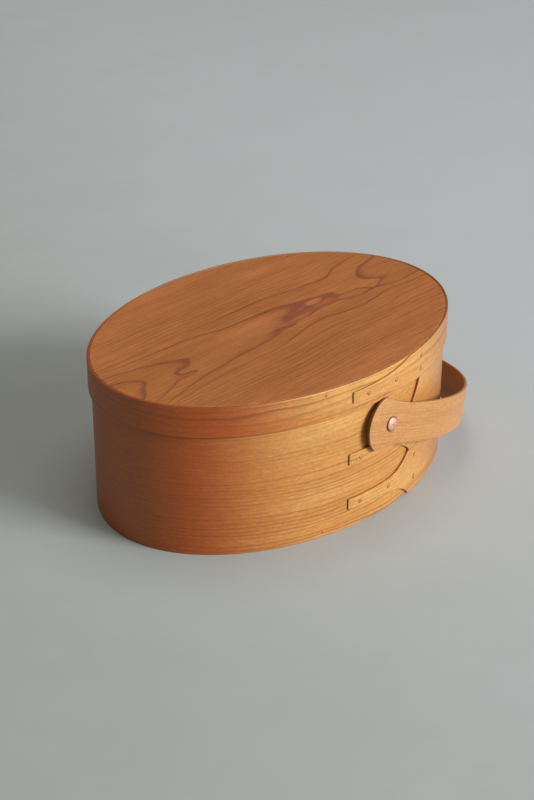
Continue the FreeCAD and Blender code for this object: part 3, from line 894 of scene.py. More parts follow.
lid_strip = bend_strip("lid_strip", lid_outline, [],
                       oval_thickness(LID_OVAL, LID_STRIP, lid_table), SIDE_EASE,
                       lid_form, (LID_BOTTOM, TOTAL_HEIGHT), lid_cherry)
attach(lid_strip, "lid")
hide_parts("lid_band")
print("sides, mm", [[round(v / MM, 1) for v in s.dimensions] for s in (side_strip, lid_strip)])

# %% [markdown]
# ## The bail handle
#
# The handle is one strip too. Its two ends are shaped like an axe head and drilled for the rivets,
# the strip steps outwards past the lid's lap, and then it goes round the end of the box in a bow
# that is a little leaner than half an ellipse. It lies tilted, so that its bow rests beside the
# box. A swept curve could give the bow, but the pads and the step would be left to do by hand, so
# the handle's form is a rule in two parts, the leg and the bow. The outward direction at each
# point goes from the inner face's rule to the outer face's.

# %% Form of the handle
STRAP_THICK = 1.7
HALF_STRAP = 11.2                  # half the strap's width
LEG_OUTER, PAD_OUTER = 84.34, 82.8  # how far out the outer face is, on the leg and on the pad
JOGGLE = (5.5, 13.5)               # where the step from the one to the other begins and ends
PAD_REACH = 18.3                   # the pad ends this far behind the pivot
# The leg's rule starts a little behind the pad's end, so that the pad is well on the form.
LEG_START, LEG_END = -PAD_REACH - STRAP_THICK, 26.0
LEG_SHARE = 0.25                   # share of each half of the way that the leg takes
BOW_REACH, BOW_POWER, BOW_FLARE = 136.8, 1.92, 0.2
REST_GAP = 0.25                    # between the resting bow and what the box stands on
LOW_REACH = BOW_REACH + BOW_FLARE * HALF_STRAP
TILT = (math.asin((PIVOT_HEIGHT - REST_GAP) / math.hypot(LOW_REACH, HALF_STRAP))
        - math.atan2(HALF_STRAP, LOW_REACH))
HALF_FORM = 20.0                   # the form reaches this far above and below the strap's middle


def bail_point(way, v, depth):
    """A point on the handle: way is -1 to 1 from pivot end to pivot end, depth from the outside."""
    side = math.copysign(1.0, way)
    part = 1.0 - abs(way)
    reach = BOW_REACH - BOW_FLARE * v - depth
    outer = LEG_OUTER - depth
    if part < LEG_SHARE:
        u = blend_between(LEG_START, LEG_END, part / LEG_SHARE)
        step = smooth((u - JOGGLE[0]) / (JOGGLE[1] - JOGGLE[0]))
        y = outer - (LEG_OUTER - PAD_OUTER) * (1.0 - step)
    else:
        turn = math.pi / 2.0 * (part - LEG_SHARE) / (1.0 - LEG_SHARE)
        across = max(math.cos(turn), 0.0)
        radius = (across**BOW_POWER + math.sin(turn)**BOW_POWER) ** (-1.0 / BOW_POWER)
        u = LEG_END + (reach - LEG_END) * radius * math.sin(turn)
        y = outer * radius * across
    return np.array((u * math.cos(TILT) + v * math.sin(TILT), side * y,
                     PIVOT_HEIGHT - u * math.sin(TILT) + v * math.cos(TILT)))


ways, bail_table = evenly(lambda way: bail_point(way, 0.0, 0.0), -1.0, 1.0)
bail_form = []
for edge, v in ((" low", -HALF_FORM), (" high", HALF_FORM)):
    inner = [bail_point(way, v, STRAP_THICK) for way in ways]
    outs = [(bail_point(way, v, 0.0) - p) / STRAP_THICK for way, p in zip(ways, inner)]
    bail_form.append(outward_points("handle form" + edge, inner, outs, True))
print("flat length of the handle, mm", round(bail_table[1][-1], 1))

# %% [markdown]
# ### The handle's outline
#
# Each end widens from the strap through a long hollow curve to the pad's corner, and then closes
# in a flat arc, like an axe's edge. The corners are rounded so that they don't catch a sleeve. One
# end is drawn as (u, v) from its rivet, and then laid out along the flat strip at both ends.

# %% Cut and bend the handle
PAD_HALF, PAD_CORNER, PAD_ROUND = 15.1, -8.8, 2.0
NECK_END = 16.0                    # where the pad has narrowed to the strap
WAIST_POINTS, PAD_END_POINTS, CORNER_STEPS = 22, 26, 5
HANDLE_EASE = 0.45


def bail_length(u, end):
    """Length along the handle at u from the pivot, at the front end (-1) or the back end (1)."""
    part = LEG_SHARE * (u - LEG_START) / (LEG_END - LEG_START)
    return length_at(bail_table, end * (1.0 - part))


def waist():
    """The arc from the strap's own width to the pad's corner, as (u, v) for the upper edge."""
    rise, across = PAD_HALF - HALF_STRAP, NECK_END - PAD_CORNER
    radius = (across**2 + rise**2) / (2.0 * rise)
    lean = math.asin(across / radius) / 2.0
    middle = (NECK_END - radius * math.sin(lean), HALF_STRAP + radius * (1.0 - math.cos(lean)))
    return arc_through((NECK_END, HALF_STRAP), middle, (PAD_CORNER, PAD_HALF), WAIST_POINTS)


def round_corner(before, after):
    """Replace the corner where two runs meet by a small curve of PAD_ROUND."""
    corner = np.array(before[-1])
    before, after = [[p for p in side if np.hypot(*(np.array(p) - corner)) > 0.85 * PAD_ROUND]
                     for side in (before, after)]
    a, b = np.array(before[-1]), np.array(after[0])
    curve = [tuple((1 - t)**2 * a + 2 * t * (1 - t) * corner + t**2 * b)
             for t in (i / CORNER_STEPS for i in range(1, CORNER_STEPS))]
    return before + curve + after


upper = waist()
lower = [(u, -v) for u, v in upper[::-1]]
pad_end = arc_through((PAD_CORNER, PAD_HALF), (-PAD_REACH, 0.0), (PAD_CORNER, -PAD_HALF),
                      PAD_END_POINTS)
pad = round_corner(round_corner(upper, pad_end), lower)
front_pad, back_pad = [[(bail_length(u, end), v) for u, v in pad] for end in (-1.0, 1.0)]
first = math.ceil(front_pad[0][0] / COLUMN + 0.4) * COLUMN
strap = np.arange(first, back_pad[0][0] - 0.4 * COLUMN, COLUMN)
handle_outline = (front_pad + [(s, -HALF_STRAP) for s in strap]
                  + back_pad[::-1] + [(s, HALF_STRAP) for s in strap[::-1]])
handle_holes = [round_hole(bail_length(0.0, end), 0.0) for end in (-1.0, 1.0)]
bail = bend_strip("bail", handle_outline, handle_holes, lambda s: STRAP_THICK, HANDLE_EASE,
                  bail_form, (-HALF_FORM, HALF_FORM), handle_cherry)
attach(bail, "handle")
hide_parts("handle")
print("handle, mm", [round(v / MM, 1) for v in bail.dimensions])

# %% [markdown]
# ## The figure of a plain-sawn board
#
# The boards are plain-sawn: cut off the side of the log, so that the rings come up as nested
# arches and the middle as a broad figure. A Wave texture would give even rings, so they are
# counted here instead. A ring's number can be written as a smooth function of the place on the
# board: a floor that climbs along the board's length, plus the square of the distance from its
# middle line. Wherever the number is whole there is a dark late-wood line, and where the floor
# stays near a whole number the line widens into a blotch. Three curves over the length give the
# floor, the middle line and the arches' width. A few swellings, where a branch or a wound lay near,
# push the rings up or down: they make the zigzag in one arch and the pale eyes in the blotch.
# Noise makes all the lines wander a little. Places are in millimetres here.

# %% Count the rings of a board
CURVE_REACH = 115.0                # the three curves go this far either side of the middle
CURVE_RANGES = ((0.0, 4.0), (-10.0, 10.0), (10.0, 30.0))
CROWDED = 24.0                     # further out than this the rings crowd together
WANDER = (((0.018, 0.11, 0.1), 0.14), ((0.11, 0.25, 0.1), 0.07))


def curve_along(tree, along, points, low, high):
    """A smooth curve over the board's length: points are (mm along, value)."""
    share = add(tree, "ShaderNodeMapRange", {0: along, 1: -CURVE_REACH, 2: CURVE_REACH})
    node = add(tree, "ShaderNodeFloatCurve", {"Value": share})
    shape_curve(node, [((x + CURVE_REACH) / (2.0 * CURVE_REACH), (value - low) / (high - low))
                       for x, value in points])
    return add(tree, "ShaderNodeMapRange", {0: node, 3: low, 4: high})


def board_rings(tree, place, figure, swellings):
    """The number of rings at each place, and how far out among the crowded ones it lies."""
    parts = add(tree, "ShaderNodeSeparateXYZ", {0: place})
    floor, middle, width = [curve_along(tree, parts.outputs["X"], points, low, high)
                            for points, (low, high) in zip(figure, CURVE_RANGES)]
    # The middle line's wandering is felt less towards the board's edges.
    across = parts.outputs["Y"]
    aside = add(tree, "ShaderNodeMath", {0: across}, operation="ABSOLUTE")
    felt = add(tree, "ShaderNodeMapRange", {0: aside, 1: 15.0, 2: 50.0, 3: 1.0, 4: 0.2})
    middle = add(tree, "ShaderNodeMath", {0: middle, 1: felt}, operation="MULTIPLY")
    away = add(tree, "ShaderNodeMath", {0: across, 1: middle}, operation="SUBTRACT")
    share = add(tree, "ShaderNodeMath", {0: away, 1: width}, operation="DIVIDE")
    bowl = add(tree, "ShaderNodeMath", {0: share, 1: share}, operation="MULTIPLY")
    rings = add(tree, "ShaderNodeMath", {0: floor, 1: bowl}, operation="ADD")
    # Further out the board is nearly rift-sawn and its rings crowd together.
    far = add(tree, "ShaderNodeMath", {0: away}, operation="ABSOLUTE")
    far = add(tree, "ShaderNodeMath", {0: far, 1: CROWDED}, operation="SUBTRACT")
    far = add(tree, "ShaderNodeMath", {0: far, 1: 0.0}, operation="MAXIMUM")
    rings = add(tree, "ShaderNodeMath", {0: far, 1: 0.13, 2: rings}, operation="MULTIPLY_ADD")
    for x, y, reach, spread, amount in swellings:
        spot = add(tree, "ShaderNodeVectorMath", {0: place, 1: (x, y, 0.0)}, operation="SUBTRACT")
        spot = add(tree, "ShaderNodeVectorMath", {0: spot, 1: (1.0 / reach, 1.0 / spread, 0.0)},
                   operation="MULTIPLY")
        spot = add(tree, "ShaderNodeVectorMath", {0: spot}, operation="LENGTH")
        lift = add(tree, "ShaderNodeMapRange", {0: spot, 3: amount, 4: 0.0},
                   interpolation_type="SMOOTHSTEP")
        rings = add(tree, "ShaderNodeMath", {0: rings, 1: lift}, operation="ADD")
    # The rings wander slowly along the board, and tremble where the board's middle is nearly flat.
    for waves, amount in WANDER:
        noise = stretched_noise(tree, place, waves, 2.0)
        level = add(tree, "ShaderNodeMath", {0: noise, 1: 0.5}, operation="SUBTRACT")
        rings = add(tree, "ShaderNodeMath", {0: level, 1: amount, 2: rings},
                    operation="MULTIPLY_ADD")
    return rings, far


print("rings that a board can have at its middle line", CURVE_RANGES[0][1])

# %% [markdown]
# ### Late wood of a board
#
# Late wood makes the count of rings visible. Each ring's line has a soft side and a sharp side, as
# on a strip, but it is drawn by a second curve, because here one ring may be as wide as a hand.

# %% Late wood of a board
LATE_DEPTH = 0.62                  # how far a line of full strength goes to the late wood's colour
FIRST_STRENGTH = 1.15              # strength of the first four lines


def board_late_wood(tree, place, rings, far):
    """How dark the late wood makes each place of a board."""
    # With half a ring added, a whole number is at 0.5, and the line peaks just below it.
    half_on = add(tree, "ShaderNodeMath", {0: rings, 1: 0.5}, operation="ADD")
    share, power = years(tree, half_on, 0.12, 0.75)
    late = add(tree, "ShaderNodeFloatCurve", {"Value": share})
    shape_curve(late, ((0.0, 0.0), (0.28, 0.06), (0.38, 0.3), (0.44, 0.7), (0.485, 1.0),
                       (0.515, 0.6), (0.56, 0.0), (1.0, 0.0)))
    # Where the rings crowd, their late wood is a larger share of each year.
    crowd = add(tree, "ShaderNodeMapRange", {0: far, 1: 0.0, 2: 8.0})
    soft, sharp = [add(tree, "ShaderNodeMapRange", {0: share, 1: 0.5, 2: end, 3: 1.0, 4: 0.0},
                       interpolation_type="SMOOTHSTEP") for end in (0.15, 0.68)]
    wide = add(tree, "ShaderNodeMath", {0: soft, 1: sharp}, operation="MULTIPLY")
    late = add(tree, "ShaderNodeMix", {0: crowd, 2: late, 3: wide})
    # A ring comes and goes along its length, but the first four are strong all along.
    fade = toned_noise(tree, place, (0.02, 0.09, 0.1), 2.0, 0.35, 0.65, 0.25, 1.0)[1]
    power = add(tree, "ShaderNodeMath", {0: power, 1: fade}, operation="MULTIPLY")
    inner = add(tree, "ShaderNodeMapRange", {0: rings, 1: 4.4, 2: 5.2, 3: FIRST_STRENGTH, 4: 0.0})
    power = add(tree, "ShaderNodeMath", {0: power, 1: inner}, operation="MAXIMUM")
    depth = add(tree, "ShaderNodeMath", {0: late, 1: power}, operation="MULTIPLY")
    return add(tree, "ShaderNodeMath", {0: depth, 1: LATE_DEPTH}, operation="MULTIPLY")


print("share of late wood in the darkest lines", round(LATE_DEPTH * FIRST_STRENGTH, 2))

# %% [markdown]
# ### The whole board
#
# Slow changes of tone lie under the rings, and fibres and pores over them, drawn a little coarser
# than they are. A board is oiled like the strips, but their gloss would mirror the window as one
# white patch in a flat face, so a board is duller. The lid's board has nested arches on the left,
# a wide blotch in the middle and two pale eyes in it, which its curves and swellings give.

# %% Material for a plain-sawn board
# Each noise is its waves per millimetre, its detail, the range that counts and the tones.
BOARD_GRAIN = {
    # Fibres 0.5 mm apart and 17 mm long, in bands of 1.3 mm.
    "fibres": ((0.06, 1.9, 2.0), 3.0, 0.32, 0.68, 0.8, 1.14),
    "flecks": ((0.014, 0.75, 0.8), 3.0, 0.3, 0.7, 0.86, 1.09),
    # Pores 0.2 mm across and 2.5 mm long.
    "pores": ((0.4, 4.6, 4.6), 0.0, 0.66, 0.76, 0.0, 0.4),
    "gloss": (0.52, 0.66)}


def board_cherry(name, ground, pale, ring, streak, figure, swellings):
    """Plain-sawn cherry with arches along X. The figure is three curves along the board: floor,
    middle and width. A swelling is (x, y, reach along, reach across, rings added), all in mm."""
    material, tree, shader = new_material(name)
    where = add(tree, "ShaderNodeTexCoord").outputs["Object"]
    place = add(tree, "ShaderNodeVectorMath", {0: where, 3: 1.0 / MM}, operation="SCALE")
    rings, far = board_rings(tree, place, figure, swellings)
    depth = board_late_wood(tree, place, rings, far)
    # Slow changes of tone, and a purplish cast in the first rings.
    tone = toned_noise(tree, place, (0.012, 0.05, 0.1), 3.0, 0.3, 0.7)[1]
    body = add(tree, "ShaderNodeMix", {0: tone, 6: ground, 7: pale}, data_type="RGBA")
    cast = add(tree, "ShaderNodeMapRange", {0: rings, 1: 3.5, 2: 4.2, 3: 1.0, 4: 0.0})
    line = add(tree, "ShaderNodeMix", {0: cast, 6: ring, 7: streak}, data_type="RGBA")
    colour = add(tree, "ShaderNodeMix", {0: depth, 6: body, 7: line}, data_type="RGBA")
    colour = close_grain(tree, shader, place, colour, ring, **BOARD_GRAIN)
    connect(tree, shader, {"Base Color": colour, "Specular IOR Level": 0.3})
    return material


top_figure = (
    ((-115, 0.3), (-110, 0.42), (-95, 1.06), (-80, 1.66), (-66, 2.0), (-60, 2.07), (-40, 2.33),
     (-25, 2.5), (-10, 2.68), (0, 2.78), (15, 2.9), (25, 2.96), (50, 2.97), (60, 3.1), (72, 3.12),
     (79, 3.0), (90, 2.78), (115, 2.5)),
    ((-115, -2.0), (-96, -1.0), (-70, 1.2), (-40, 1.7), (-25, 0.3), (-10, 2.0), (0, 3.0),
     (18, 4.5), (35, 1.5), (60, -1.0), (80, 4.0), (95, 4.0), (115, 6.0)),
    ((-115, 15.0), (-95, 16.2), (-70, 18.5), (-40, 20.5), (0, 20.5), (60, 21.0), (115, 22.0)))
top_swellings = ((-78, -4.5, 10, 6, 0.2), (-71, -12, 16, 5.5, -0.42), (-108, -5, 16, 9, 0.3),
                 (-5, -13.5, 22, 7, -0.22), (14, -9, 22, 9, -0.42), (14, -11, 8, 3, 0.3),
                 (10, -5, 14, 7, 0.115), (-9, -9, 13, 4, 0.04), (36, 1, 9.5, 4, 0.22),
                 (32, -5, 24, 9, -0.14), (60, -7.5, 18, 6, -0.42), (88, -12.5, 46, 8, -0.72))
top_cherry = board_cherry("oiled plain-sawn cherry, lid board", "#a46433", "#b5703f", "#6a3216",
                          "#783d30", top_figure, top_swellings)
print("swellings in the lid's board", len(top_swellings))

# %% [markdown]
# ## The shape of the lid's board
#
# The lid's board is sawn to an oval, and its upper arris is just eased. A cylinder with a Bevel
# modifier could be scaled to it, but a tree keeps every size as an input with a name. It starts
# from the oval and pulls it up twice: to the arris, and then a little further while its top face
# shrinks.

# %% Build the board's tree
MERGE = 1e-6                       # metres, for the seam between the wall and the underside


def board_tree():
    """An oval slab with an eased upper arris."""
    tree, given = new_tree("turn out an oval board", {
        "Start": "Geometry", "Half length": "Float", "Half width": "Float", "Bottom": "Float",
        "Top": "Float", "Ease": "Float", "Spokes": "Int"}, "Board")
    circle = add(tree, "GeometryNodeMeshCircle", {"Vertices": given["Spokes"], "Radius": 1.0},
                 fill_type="NGON")
    size = add(tree, "ShaderNodeCombineXYZ",
               {"X": given["Half length"], "Y": given["Half width"], "Z": 1.0})
    foot = add(tree, "ShaderNodeCombineXYZ", {"Z": given["Bottom"]})
    oval = add(tree, "GeometryNodeTransform",
               {"Geometry": circle, "Translation": foot, "Scale": size})
    height = add(tree, "ShaderNodeMath", {0: given["Top"], 1: given["Bottom"]},
                 operation="SUBTRACT")
    to_arris = add(tree, "ShaderNodeMath", {0: height, 1: given["Ease"]}, operation="SUBTRACT")
    wall = add(tree, "GeometryNodeExtrudeMesh",
               {"Mesh": oval, "Offset Scale": to_arris, "Individual": False})
    easing = add(tree, "GeometryNodeExtrudeMesh",
                 {"Mesh": wall, "Selection": wall.outputs["Top"], "Offset Scale": given["Ease"],
                  "Individual": False})
    share = add(tree, "ShaderNodeMath", {0: given["Ease"], 1: given["Half width"]},
                operation="DIVIDE")
    shrink = add(tree, "ShaderNodeMath", {0: 1.0, 1: share}, operation="SUBTRACT")
    eased = add(tree, "GeometryNodeScaleElements",
                {"Geometry": easing, "Selection": easing.outputs["Top"], "Scale": shrink},
                domain="FACE")
    # Pulling up the oval leaves no underside, so a copy that faces down closes the slab.
    closed = add(tree, "GeometryNodeFlipFaces", {0: circle})
    base = add(tree, "GeometryNodeTransform",
               {"Geometry": closed, "Translation": foot, "Scale": size})
    joined = add(tree, "GeometryNodeJoinGeometry")
    for part in (eased, base):
        connect(tree, joined, {0: part})
    merged = add(tree, "GeometryNodeMergeByDistance", {"Geometry": joined, "Distance": MERGE})
    return close_tree(tree, given, merged)


turn_out_board = board_tree()
print("board tree nodes", len(turn_out_board.nodes))

# %% [markdown]
# ### Fit the lid's board
#
# The board fits closely inside the lid's strip and is sanded flush with its upper edge, so it is
# the oval inside the strip less a hair's breadth. The tree makes all of its geometry, so the
# object that it runs on starts empty.

# %% Fit the lid's board
BOARD_PLAY = 0.03                  # between the board and the strip round it
BOARD_EASE = 0.35
SPOKES = 360                       # points round the oval


def empty_mesh(name):
    """An object with nothing in it, for a tree that makes its own geometry."""
    return new_object(name, bpy.data.meshes.new(name))


lid_top = run_tree(empty_mesh("lid_top"), turn_out_board, {
    "Half length": (LID_OVAL[0] - BOARD_PLAY) * MM, "Half width": (LID_OVAL[1] - BOARD_PLAY) * MM,
    "Bottom": BOX_RIM * MM, "Top": TOTAL_HEIGHT * MM, "Ease": BOARD_EASE * MM, "Spokes": SPOKES,
    "Material": top_cherry})
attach(lid_top, "lid")
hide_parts("lid_board")
print("lid board, mm", [round(v / MM, 1) for v in lid_top.dimensions])

# %% [markdown]
# ## The bottom board
#
# The bottom board keeps its CAD mesh, because only its two flat faces show. It gets the same wood
# from another part of the plank: it has curves of its own, so its arches differ from the lid's.

# %% Material for the bottom board
def paint_node(node, material):
    """Give a CAD node that stays a better material."""
    slots = frame["nodes"][node].data.materials
    slots.clear()
    slots.append(material)
    print(node, "is now", material.name)


bottom_figure = (
    ((-115, 3.1), (-60, 2.6), (-20, 2.15), (20, 1.6), (60, 1.1), (90, 0.6), (115, 0.3)),
    ((-115, 3.0), (-50, -2.0), (0, 2.0), (60, -3.0), (115, 1.0)),
    ((-115, 24.0), (0, 21.0), (60, 18.0), (115, 16.0)))
bottom_cherry = board_cherry("oiled plain-sawn cherry, bottom board", "#a4673b", "#b87c4c",
                             "#74401f", "#74401f", bottom_figure, ((30, 6, 14, 7, 0.3),))
paint_node("base_board", bottom_cherry)

# %% [markdown]
# ## Copper
#
# The tacks, rivets, washers and burrs are soft copper. A hammer leaves faint facets on each head,
# handling polishes the crowns, and the rims are brown, with oxide and with painted shade. The facets
# are too small to model, so a Voronoi pattern of 1.1 mm cells gives them as relief. Copper is a
# metal, so its colour is its base colour, and it keeps the default index of refraction.

# %% Material for the copper
RIM_OXIDE_AND_SHADE_BROWN = "#5a2c1c"


def hammered_copper(name, bright, brown):
    """Copper with hammer marks, blotches of oxide about 1.4 mm wide and brown rims of oxide and
    painted shade.
    """
    material, tree, shader = new_material(name)
    where = add(tree, "ShaderNodeTexCoord").outputs["Object"]
    blows = add(tree, "ShaderNodeTexVoronoi", {"Vector": where, "Scale": 900.0})
    oxide = add(tree, "ShaderNodeTexNoise", {"Vector": where, "Scale": 700.0, "Detail": 4.0})
    share = add(tree, "ShaderNodeMapRange", {0: oxide, 1: 0.42, 2: 0.68})
    colour = add(tree, "ShaderNodeMix", {0: share, 6: bright, 7: brown}, data_type="RGBA")
    rim = add(tree, "ShaderNodeAttribute", attribute_name="rim").outputs["Fac"]
    # The rims are darkened brown: oxide, and painted shade at the heads' edges.
    tarnish_and_shade = add(tree, "ShaderNodeMapRange", {0: rim, 1: 0.72, 2: 0.98, 3: 0.0, 4: 0.9})
    colour = add(tree, "ShaderNodeMix", {0: tarnish_and_shade, 6: colour, 7: RIM_OXIDE_AND_SHADE_BROWN}, data_type="RGBA")
    gloss = add(tree, "ShaderNodeMapRange", {0: oxide, 1: 0.3, 2: 0.75, 3: 0.5, 4: 0.7})
    bump = add(tree, "ShaderNodeBump", {"Strength": 0.25, "Distance": 0.2 * MM, "Height": blows})
    connect(tree, shader, {"Base Color": colour, "Roughness": gloss, "Normal": bump,
                           "Metallic": 1.0})
    return material


copper = hammered_copper("hammered copper, lightly oxidised", "#f1c8b6", "#d09c86")
tack_copper = hammered_copper("copper tack heads, oiled over with the wood", "#d9a670", "#b57c50")
print("materials", copper.name, "and", tack_copper.name)

# %% [markdown]
# ## Tacks
#
# Twelve small copper tacks hold the laps: two on each finger, and a row behind the fingers' roots.
# Placing each by hand would tilt some of them, so every tack is a point on the lap with the
# direction that faces out of the wood there.

# %% Points for the tacks
FINGER_TACKS = (-19.5, 2.2)        # along the front, the two tacks on each of the box's fingers
ROOT_TACKS = 28.6                  # and the row behind the roots
box_places = [(x, z) for z in FINGERS for x in FINGER_TACKS]
box_places += [(ROOT_TACKS, 7.2 + 13.7 * i) for i in range(4)]
lid_places = [(-17.0, 77.0), (3.8, 77.0), (ROOT_TACKS, 73.0), (ROOT_TACKS, 81.0)]


def tack_points(name, oval, strip, places):
    """A mesh of points on the lap's outside, each with its outward direction."""
    points = []
    outs = []
    for x, z in places:
        spots = []
        for near in (x - 1.0, x, x + 1.0):
            off = lap_inner(near, strip) + strip
            angle = math.asin(near / oval[0])
            spots.append(np.array(((oval[0] + off) * math.sin(angle),
                                   -(oval[1] + off) * math.cos(angle), z)))
        run_along = spots[2] - spots[0]
        out = np.array((run_along[1], -run_along[0], 0.0))
        points.append(spots[1])
        outs.append(out / np.linalg.norm(out))
    return outward_points(name, points, outs, False)


print("tacks", len(box_places), "on the box and", len(lid_places), "on the lid")

# %% [markdown]
# ### The tack tree
#
# Tacks repeat, so one Geometry Nodes tree makes a head and a shank, sets them on each point,
# turns them to face out of the wood and gives each a random twist and size from a fixed seed,
# because no two tacks are struck alike. The head is a flattened ball, dented a little by noise.

# %% Build the tack tree
DENTS = (0.93, 1.05)               # the noise moves a head's points to these shares of their place
SIZES = (0.93, 1.05)               # and the tacks' own sizes lie between these


def sunk_bar(tree, way, length, width):
    """A square bar that lies along one axis and ends at 0, as a shank or a peg does in wood."""
    size = add(tree, "ShaderNodeCombineXYZ", {"X": width, "Y": width, "Z": width, way: length})
    bar = add(tree, "GeometryNodeMeshCube", {"Size": size})
    back = add(tree, "ShaderNodeMath", {0: length, 1: -0.5}, operation="MULTIPLY")
    sunk = add(tree, "ShaderNodeCombineXYZ", {way: back})
    return add(tree, "GeometryNodeTransform", {"Geometry": bar, "Translation": sunk})


def tack_tree():
    """Set a head and a shank on each point, facing outwards."""
    tree, given = new_tree("set tacks", {
        "Points": "Geometry", "Head radius": "Float", "Head height": "Float",
        "Shank length": "Float", "Shank width": "Float", "Seed": "Int"}, "Tacks")
    ball = add(tree, "GeometryNodeMeshUVSphere", {"Segments": 24, "Rings": 12, "Radius": 1.0})
    size = add(tree, "ShaderNodeCombineXYZ",
               {"X": given["Head radius"], "Y": given["Head radius"], "Z": given["Head height"]})
    head = add(tree, "GeometryNodeTransform", {"Geometry": ball, "Scale": size})
    place = add(tree, "GeometryNodeInputPosition")
    noise = add(tree, "ShaderNodeTexNoise", {"Vector": place, "Scale": 900.0, "Detail": 1.0})
    dent = add(tree, "ShaderNodeMapRange", {0: noise, 1: 0.3, 2: 0.7, 3: DENTS[0], 4: DENTS[1]})
    struck = add(tree, "ShaderNodeVectorMath", {0: place, 3: dent}, operation="SCALE")
    # The material darkens the head's rim, so each point keeps how far out it is.
    flat = add(tree, "ShaderNodeVectorMath", {0: place, 1: (1.0, 1.0, 0.0)}, operation="MULTIPLY")
    reach = add(tree, "ShaderNodeVectorMath", {0: flat}, operation="LENGTH")
    rim = add(tree, "ShaderNodeMath", {0: reach, 1: given["Head radius"]}, operation="DIVIDE")
    head = add(tree, "GeometryNodeStoreNamedAttribute",
               {"Geometry": head, "Name": "rim", "Value": rim}, data_type="FLOAT", domain="POINT")
    head = add(tree, "GeometryNodeSetPosition", {"Geometry": head, "Position": struck})
    shank = sunk_bar(tree, "Z", given["Shank length"], given["Shank width"])
    tack = add(tree, "GeometryNodeJoinGeometry")
    for part in (head, shank):
        connect(tree, tack, {0: part})
    outward = add(tree, "GeometryNodeInputNamedAttribute", {"Name": "out"},
                  data_type="FLOAT_VECTOR")
    facing = add(tree, "FunctionNodeAlignRotationToVector", {"Vector": outward}, axis="Z")
    scale, twist = [add(tree, "FunctionNodeRandomValue", {2: low, 3: high, "Seed": given["Seed"]})
                    for low, high in (SIZES, (0.0, 6.28))]
    placed = add(tree, "GeometryNodeInstanceOnPoints",
                 {"Points": given["Points"], "Instance": tack, "Rotation": facing, "Scale": scale})
    about = add(tree, "ShaderNodeCombineXYZ", {"Z": twist})
    turned = add(tree, "GeometryNodeRotateInstances", {"Instances": placed, "Rotation": about})
    return close_tree(tree, given, turned)


set_tacks = tack_tree()
print("tack tree nodes", len(set_tacks.nodes))

# %% [markdown]
# ### Set the tacks
#
# The heads are 2.6 mm across and stand only a quarter of a millimetre out of the wood. The tree
# runs once for the box and once for the lid, because each of the two moves on its own and needs a
# mesh of its own.

# %% Set the tacks
TACK_RADIUS, TACK_HEIGHT = 1.3, 0.26
SHANK_LENGTH, SHANK_WIDTH = 1.2, 1.0
SEED = 7
for name, body, oval, strip, places, nodes in (
        ("box_tacks", "box", BOX_OVAL, BOX_STRIP, box_places, ("box_finger_tacks", "box_root_tacks")),
        ("lid_tacks", "lid", LID_OVAL, LID_STRIP, lid_places, ("lid_finger_tacks", "lid_root_tacks"))):
    tacks = run_tree(tack_points(name, oval, strip, places), set_tacks,
                     {"Head radius": TACK_RADIUS * MM, "Head height": TACK_HEIGHT * MM,
                      "Shank length": SHANK_LENGTH * MM, "Shank width": SHANK_WIDTH * MM,
                      "Seed": SEED, "Material": tack_copper})
    tacks.data.shade_smooth()
    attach(tacks, body)
    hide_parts(*nodes)
    print(name, "faces", len(tacks.data.polygons))

# %% [markdown]
# ## Pegs
#
# Little split pegs of the same cherry pin each board inside its strip. Only their square ends
# show, and as the wood is the same they are hard to find. They could be placed one by one, but they
# stand at equal angles round the oval, which is a rule, so a tree makes them from a count.

# %% Build the peg tree
def peg_tree():
    """Drive square pegs into an oval at equal angles, each along the oval's own outward way."""
    tree, given = new_tree("drive pegs round an oval", {
        "Start": "Geometry", "Count": "Int", "Half length": "Float", "Half width": "Float",
        "Height": "Float", "Peg width": "Float", "Peg length": "Float"}, "Pegs")
    index = add(tree, "GeometryNodeInputIndex")
    half_on = add(tree, "ShaderNodeMath", {0: index, 1: 0.5}, operation="ADD")
    share = add(tree, "ShaderNodeMath", {0: half_on, 1: given["Count"]}, operation="DIVIDE")
    angle = add(tree, "ShaderNodeMath", {0: share, 1: WHOLE_TURN}, operation="MULTIPLY")
    sine = add(tree, "ShaderNodeMath", {0: angle}, operation="SINE")
    cosine = add(tree, "ShaderNodeMath", {0: angle}, operation="COSINE")
    # An oval's outward direction has its two half sizes the other way round.
    vectors = []
    for along, across in (("Half length", "Half width"), ("Half width", "Half length")):
        x = add(tree, "ShaderNodeMath", {0: sine, 1: given[along]}, operation="MULTIPLY")
        y = add(tree, "ShaderNodeMath", {0: cosine, 1: given[across]}, operation="MULTIPLY")
        y = add(tree, "ShaderNodeMath", {0: y, 1: -1.0}, operation="MULTIPLY")
        vectors.append(add(tree, "ShaderNodeCombineXYZ", {"X": x, "Y": y}))
    spot, outward = vectors
    connect(tree, spot, {"Z": given["Height"]})
    points = add(tree, "GeometryNodePoints", {"Count": given["Count"], "Position": spot})
    peg = sunk_bar(tree, "X", given["Peg length"], given["Peg width"])
    facing = add(tree, "FunctionNodeAlignRotationToVector", {"Vector": outward}, axis="X")
    placed = add(tree, "GeometryNodeInstanceOnPoints",
                 {"Points": points, "Instance": peg, "Rotation": facing})
    return close_tree(tree, given, placed)


drive_pegs = peg_tree()
print("peg tree nodes", len(drive_pegs.nodes))

# %% [markdown]
# ### Drive the pegs
#
# A peg's end is cut end grain: a field of open pores about 0.25 mm apart, which drink the oil and
# stay dull. The pegs are cut off flush, so they stand out of the strip by next to nothing.

# %% Peg wood and pegs
PEG_COUNT, PEG_WIDTH, PEG_LENGTH = 8, 1.2, 7.9
PROUD = 0.02                       # a peg's end stands this far out of the strip


